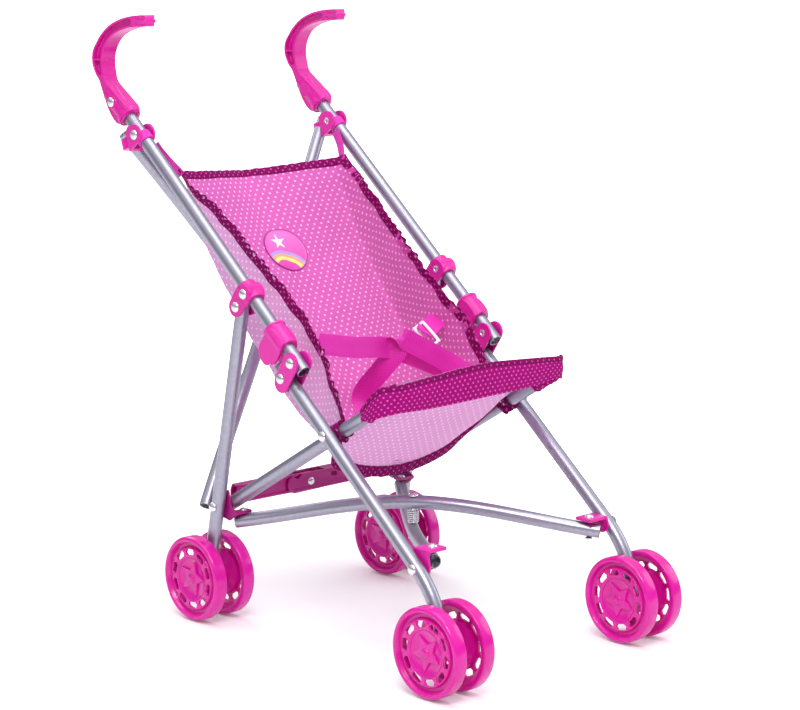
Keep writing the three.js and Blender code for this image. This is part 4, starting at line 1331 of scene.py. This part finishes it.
def sleeves():
    """Cloth pockets round the link tubes' front ends, and loops near the link's pivot."""
    start = on_side(towards(LINK_PIVOT, LINK_END, -42), LINK_X)
    end = on_side(towards(LINK_PIVOT, LINK_END, -69.5), LINK_X)
    heading = (end - start).normalized()
    first = X_AXIS
    second = heading.cross(first)
    steps, sides = 24, 36
    for name, low, high, bump, cloth in (
        ("link_sleeve", 0, 28.5, 0.35, BAND),
        ("link_loop", -49, -35, 1.5, HEM_DOTS),
    ):
        verts = []
        uv = []
        for i in range(steps + 1):
            tip = i / steps
            point = start + heading * (low + (high - low) * i / steps)
            for k in range(sides):
                turn = 2 * math.pi * k / sides
                radius = TUBE_R + 0.9 + bump * math.sin(turn * 3 + tip * 9) + bump * math.sin(tip * 40)
                if name == "link_sleeve" and tip > 0.95:
                    radius *= 1 - (tip - 0.95) * 12
                verts.append(point + (first * math.cos(turn) + second * math.sin(turn)) * radius)
                uv.append((turn * TUBE_R * MM, (low + (high - low) * tip) * MM))
        faces = wrapped_faces(steps + 1, sides)
        if name == "link_sleeve":
            faces.append(tuple(range(steps * sides, (steps + 1) * sides)))
        place(shade(add_mesh("left_" + name, verts, faces, cloth, uv), 60), "link")


# ---------------------------------------------------------------- straps


def ribbon(name, path, wide, width, material, thick=1.2, count=40, curl=0.0):
    """A flat strap along a smooth path. `wide` is the direction across it at each point."""
    points = smooth_path(path, count)
    arc = lengths_along(points)
    stops = lengths_along([Vector(p) for p in path])
    grid = []
    spots = []
    normals = []
    for i, point in enumerate(points):
        gone = i / (count - 1) * stops[-1]
        k = max(n for n in range(len(stops) - 1) if stops[n] <= gone + 1e-6)
        t = (gone - stops[k]) / (stops[k + 1] - stops[k])
        tangent = points[min(i + 1, count - 1)] - points[max(i - 1, 0)]
        across = Vector(wide[k]).lerp(Vector(wide[k + 1]), t)
        across = (across - tangent * across.dot(tangent) / tangent.length_squared).normalized()
        normal = tangent.cross(across).normalized()
        row = []
        for k in range(9):
            u = k / 8 - 0.5
            lift = curl * (4 * u * u - 0.33) + 0.4 * wrinkle((arc[i], u * 20, 0), 14, width)
            row.append(point + across * (u * width) + normal * lift)
        grid.append(row)
        spots.append([((k / 8 - 0.5) * width, arc[i]) for k in range(9)])
        normals.append([normal] * 9)
    return strip_solid(name, grid, normals, thick / 2, spots, material)


def harness():
    steep = (0.1, 0.1, 1)
    left = ribbon(
        "left_lap_webbing",
        [(-91, -30, 268), (-45, -27, 259), (-5, -21, 253.5), (20, -27, 245), (56, -36, 229)],
        [steep, steep, steep, (0.3, 0, 1), (0.5, -0.2, 0.9)], 19, HARNESS, curl=0.6,
    )
    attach(left, "left_handle")
    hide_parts("left_lap_strap")
    right = ribbon(
        "right_lap_webbing",
        [(57, -9.5, 258), (66, -3, 260.5), (80, 2.5, 264), (92, 8, 268)],
        [(0, 0.83, 0.56), (0, 0.83, 0.56), (0, 0.9, 0.45), (0, 0.94, 0.35)], 19, HARNESS, curl=0.5,
    )
    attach(right, "right_handle")
    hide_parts("right_lap_strap")
    rising = (0.5, -0.62, -0.6)
    folded = (0.73, -0.65, 0.2)
    falling = (0.46, -0.22, 0.86)
    crotch = ribbon(
        "crotch_webbing",
        [
            (-2, -42, 153), (-8, -8, 182), (-8, 6, 204), (-4, -15, 231), (5, -27, 250), (4, -26, 259),
            (6, -32, 262), (12, -35, 259), (34, -43, 246), (55, -49, 233), (68, -60, 222),
        ],
        [rising, rising, rising, rising, rising, folded, folded, falling, falling, falling, falling],
        19, HARNESS, curl=0.3, count=90,
    )
    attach(crotch, "left_seat_front")
    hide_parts("crotch_strap")
def harness_ring():
    """The white ring between the harness straps."""
    centre = Vector((60, -8, 256))
    outline = [(-13, -4), (-12, -5), (12, -5), (13, -4), (13, 4), (12, 5), (-12, 5), (-13, 4)]
    count, sides = 64, 14
    path = smooth_path([(x, y, 0) for x, y in outline], count, True)
    across = Vector((0, 0.83, 0.56)).normalized()
    along = Vector((0.71, -0.39, 0.58))
    along = (along - across * along.dot(across)).normalized()
    face = across.cross(along)
    verts = []
    for i, point in enumerate(path):
        tangent = (path[(i + 1) % count] - path[i - 1]).normalized()
        out = tangent.cross(Z_AXIS)
        for k in range(sides):
            turn = 2 * math.pi * k / sides
            local = point + out * 1.5 * math.cos(turn) + Vector((0, 0, 1.2 * math.sin(turn)))
            verts.append(centre + across * local.x + along * local.y + face * local.z)
    ring = shade(add_mesh("white_ring", verts, wrapped_faces(count, sides, closed=True), WHITE), 60)
    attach(ring, "left_seat_front")
    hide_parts("harness_ring")


def hanging_straps():
    path = [(-110.5, 176, 429), (-108.5, 169, 421), (-104, 160, 411), (-99, 153, 402)]
    made = ribbon("left_hanging_webbing", path, [(0, 0.64, -0.77)] * 4, 11, STRAP, thick=1.4)
    place(made, "handle", "hanging_strap")
    profile = [(TUBE_R + 0.3, 0), (TUBE_R + 1.5, 0.4), (TUBE_R + 1.5, 9.6), (TUBE_R + 0.3, 10)]
    loop = lathe("left_strap_loop", profile, on_handle(275), Vector((0, *UP)), STRAP, 40)
    place(loop, "handle")


def patch(rows):
    """A round patch that lies on the seat back's surface."""
    width = len(rows[0])
    points = [point for row in rows for point in row]
    quads = []
    for r in range(len(rows) - 1):
        for a in range(r * width, (r + 1) * width - 1):
            quads.append((a, a + width, a + width + 1, a + 1))
    cloth = BVHTree.FromPolygons(points, quads)
    radius = 24.0
    lean = math.atan2(398 - 148, 186 + 33)
    up = Vector((0, math.cos(lean), math.sin(lean)))
    across = X_AXIS
    normal = Vector((0, -math.sin(lean), math.cos(lean)))
    centre = Vector((0, 124, 326))

    def laid(x, y, height):
        start = centre + across * x + up * y + normal * 40
        return cloth.ray_cast(start, -normal)[0] + normal * height

    verts = [laid(0.01, 0, 0.8)]
    uv = [(0.0, 0.0)]
    sides = 72
    bands = [(0.2, 0.8), (0.4, 0.8), (0.6, 0.8), (0.8, 0.8), (0.93, 0.8)]
    bands += [(0.95, 1.3), (0.985, 1.3), (1.0, 0.7), (1.0, 0.1)]
    for share, height in bands:
        for k in range(sides):
            turn = 2 * math.pi * (k + 0.5) / sides
            x, y = share * radius * math.cos(turn), share * radius * math.sin(turn)
            verts.append(laid(x, y, height))
            uv.append((x * MM, y * MM))
    faces = [(0, 1 + k, 1 + (k + 1) % sides) for k in range(sides)]
    for ring in range(len(bands) - 1):
        for k in range(sides):
            a, b = 1 + ring * sides, 1 + (ring + 1) * sides
            n = (k + 1) % sides
            faces.append((a + k, b + k, b + n, a + n))
    look = patch_material("patch_print", radius * MM)
    made = shade(add_mesh("seat_patch_look", verts, faces, look, uv), 50)
    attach(made, "left_handle")
    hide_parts("seat_patch")


# ---------------------------------------------------------------- the sprung bolt


def coil(name, centre, low, high, radius, wire, turns, material):
    """A coiled wire about an upright line through centre."""
    steps = int(turns * 40)
    sides = 10
    points = []
    for t in (i / steps for i in range(steps + 1)):
        turn = 2 * math.pi * turns * t
        x = centre[0] + radius * math.cos(turn)
        points.append(Vector((x, centre[1] + radius * math.sin(turn), low + (high - low) * t)))
    verts = rings(points, lambda i: wire, sides, Z_AXIS)
    faces = wrapped_faces(steps + 1, sides)
    faces.append(tuple(range(sides)))
    faces.append(tuple(range(steps * sides, (steps + 1) * sides))[::-1])
    return shade(add_mesh(name, verts, faces, material), 60)


def sprung_bolt():
    y = SCISSOR_SPOTS[1][1]
    upper = SCISSOR_HEIGHTS["right"][1]
    lower = SCISSOR_HEIGHTS["left"][1]
    head = rivet_head("scissor_bolt_look", (0, y, upper + TUBE_R), (0, 0, 1), 5, 2.6)
    shaft = rod((0, y, upper + TUBE_R), (0, y, lower + TUBE_R + 1), 2, 24)
    shaft.data.materials[0] = BRIGHT
    pin = merge("scissor_bolt_look", [head, shaft])
    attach(pin, "right_scissor")
    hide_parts("scissor_bolt")
    low, high = lower + TUBE_R + 0.9, upper - TUBE_R - 0.9
    spring = coil("spring_look", (0, y), low, high, 4.6, 0.62, 6.5, BRIGHT)
    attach(spring, "right_scissor")
    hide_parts("scissor_spring")
    nut = rivet_head("scissor_nut_look", (0, y, lower - TUBE_R), (0, 0, -1), 4.6, 3.2)
    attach(nut, "left_scissor")
    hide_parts("scissor_nut")


# ---------------------------------------------------------------- scene


def build():
    handle_and_legs()
    brace_tube("left", 6.5)
    brace_tube("right", -6.5)
    scissor_tube("left")
    scissor_tube("right")
    rivets()
    axles()
    saddle()
    sleeve()
    knuckle()
    upper_bracket()
    scissor_bracket("left")
    scissor_bracket("right")
    lower_bracket()
    lock_brace("left", -93.2, 4, 5, -34)
    lock_brace("right", 93.2, -34, 7.5, 14)
    wheels()
    grip()
    back = seat()
    sleeves()
    harness()
    harness_ring()
    hanging_straps()
    patch(back)
    sprung_bolt()


def area_light(name, spot, target, size, power):
    light = bpy.data.lights.new(name, "AREA")
    light.shape = "DISK"
    light.size = size
    light.energy = power
    made = add_object(name, light)
    made.location = spot
    made.rotation_euler = (Vector(target) - Vector(spot)).to_track_quat("-Z", "Y").to_euler()


def studio_world():
    """White where the camera sees it; for the light it gives, bright above and dim at the horizon."""
    world = bpy.data.worlds.new("studio")
    world.use_nodes = True
    tree = world.node_tree
    background = tree.nodes["Background"]
    background.inputs[1].default_value = 1.0
    direction = tree.nodes.new("ShaderNodeTexCoord")
    split = tree.nodes.new("ShaderNodeSeparateXYZ")
    tree.links.new(direction.outputs["Generated"], split.inputs[0])
    level = tree.nodes.new("ShaderNodeMapRange")
    level.inputs[1].default_value = -1
    tree.links.new(split.outputs[2], level.inputs[0])
    sky = tree.nodes.new("ShaderNodeValToRGB")
    dim = (0.2, 0.19, 0.24)
    pale = ((0.75, (0.66, 0.66, 0.68)), (1.0, (0.85, 0.85, 0.85)))
    for height, color in ((0.0, (0.4, 0.4, 0.42)), (0.44, dim), (0.58, dim), *pale):
        stop = sky.color_ramp.elements.new(height)
        stop.color = (*color, 1)
    tree.links.new(level.outputs[0], sky.inputs[0])
    seen = tree.nodes.new("ShaderNodeLightPath")
    choice = tree.nodes.new("ShaderNodeMix")
    choice.data_type = "RGBA"
    tree.links.new(seen.outputs["Is Camera Ray"], choice.inputs[0])
    tree.links.new(sky.outputs[0], choice.inputs[6])
    choice.inputs[7].default_value = (1.05, 1.05, 1.05, 1)
    tree.links.new(choice.outputs[2], background.inputs[0])
    bpy.context.scene.world = world


def floor_material():
    """Pale paper that fades to white far from the object, for the camera only."""
    paper = Nodes("pale_floor")
    cloudy = paper.ramp(paper.noise(2, 2), 0.3, 0.7)
    paper.color(paper.mix(cloudy, (0.93, 0.93, 0.93, 1), (0.95, 0.95, 0.95, 1)))
    paper.set(Roughness=0.6)
    paper.shader.inputs["Emission Color"].default_value = (1, 1, 1, 1)
    reach = paper.add("ShaderNodeVectorMath", operation="LENGTH")
    paper.link(paper.position(), reach.inputs[0])
    seen = paper.add("ShaderNodeLightPath").outputs["Is Camera Ray"]
    glow = paper.math("ADD", paper.ramp(reach.outputs["Value"], 0.28, 0.9), 0.12)
    paper.link(paper.math("MULTIPLY", glow, seen), paper.shader.inputs["Emission Strength"])
    return paper.material


def stage():
    far = 60000
    corners = [(-far, -far, -1), (far, -far, -1), (far, far, -1), (-far, far, -1)]
    add_mesh("floor", corners, [(0, 1, 2, 3)], floor_material())
    studio_world()
    target = (0, 0, 0.25)
    area_light("key", (-1.1, -1.2, 1.9), target, 1.0, 27)
    area_light("fill", (1.6, -0.9, 1.0), target, 1.2, 7)
    area_light("rim", (0.3, 1.8, 1.5), target, 1.0, 11)
    area_light("top", (0, 0, 2.2), target, 1.6, 15)
    bpy.context.scene.view_settings.view_transform = "Standard"
    bpy.context.scene.view_settings.look = "None"


def camera():
    data = bpy.data.cameras.new("camera")
    made = add_object("camera", data)
    data.sensor_width = 36
    data.lens = 109
    data.shift_x = -0.00375
    data.shift_y = -0.003
    data.clip_end = 50
    data.dof.use_dof = False
    made.location = (-1.4643, -1.6068, 0.6365)
    forward = Vector((0.6721, 0.7190, -0.1771))
    facing = forward.to_track_quat("-Z", "Y")
    roll = Matrix.Rotation(math.radians(0.18), 4, "Z")
    made.matrix_world = Matrix.Translation(made.location) @ facing.to_matrix().to_4x4() @ roll
    bpy.context.scene.camera = made


build()
stage()
camera()
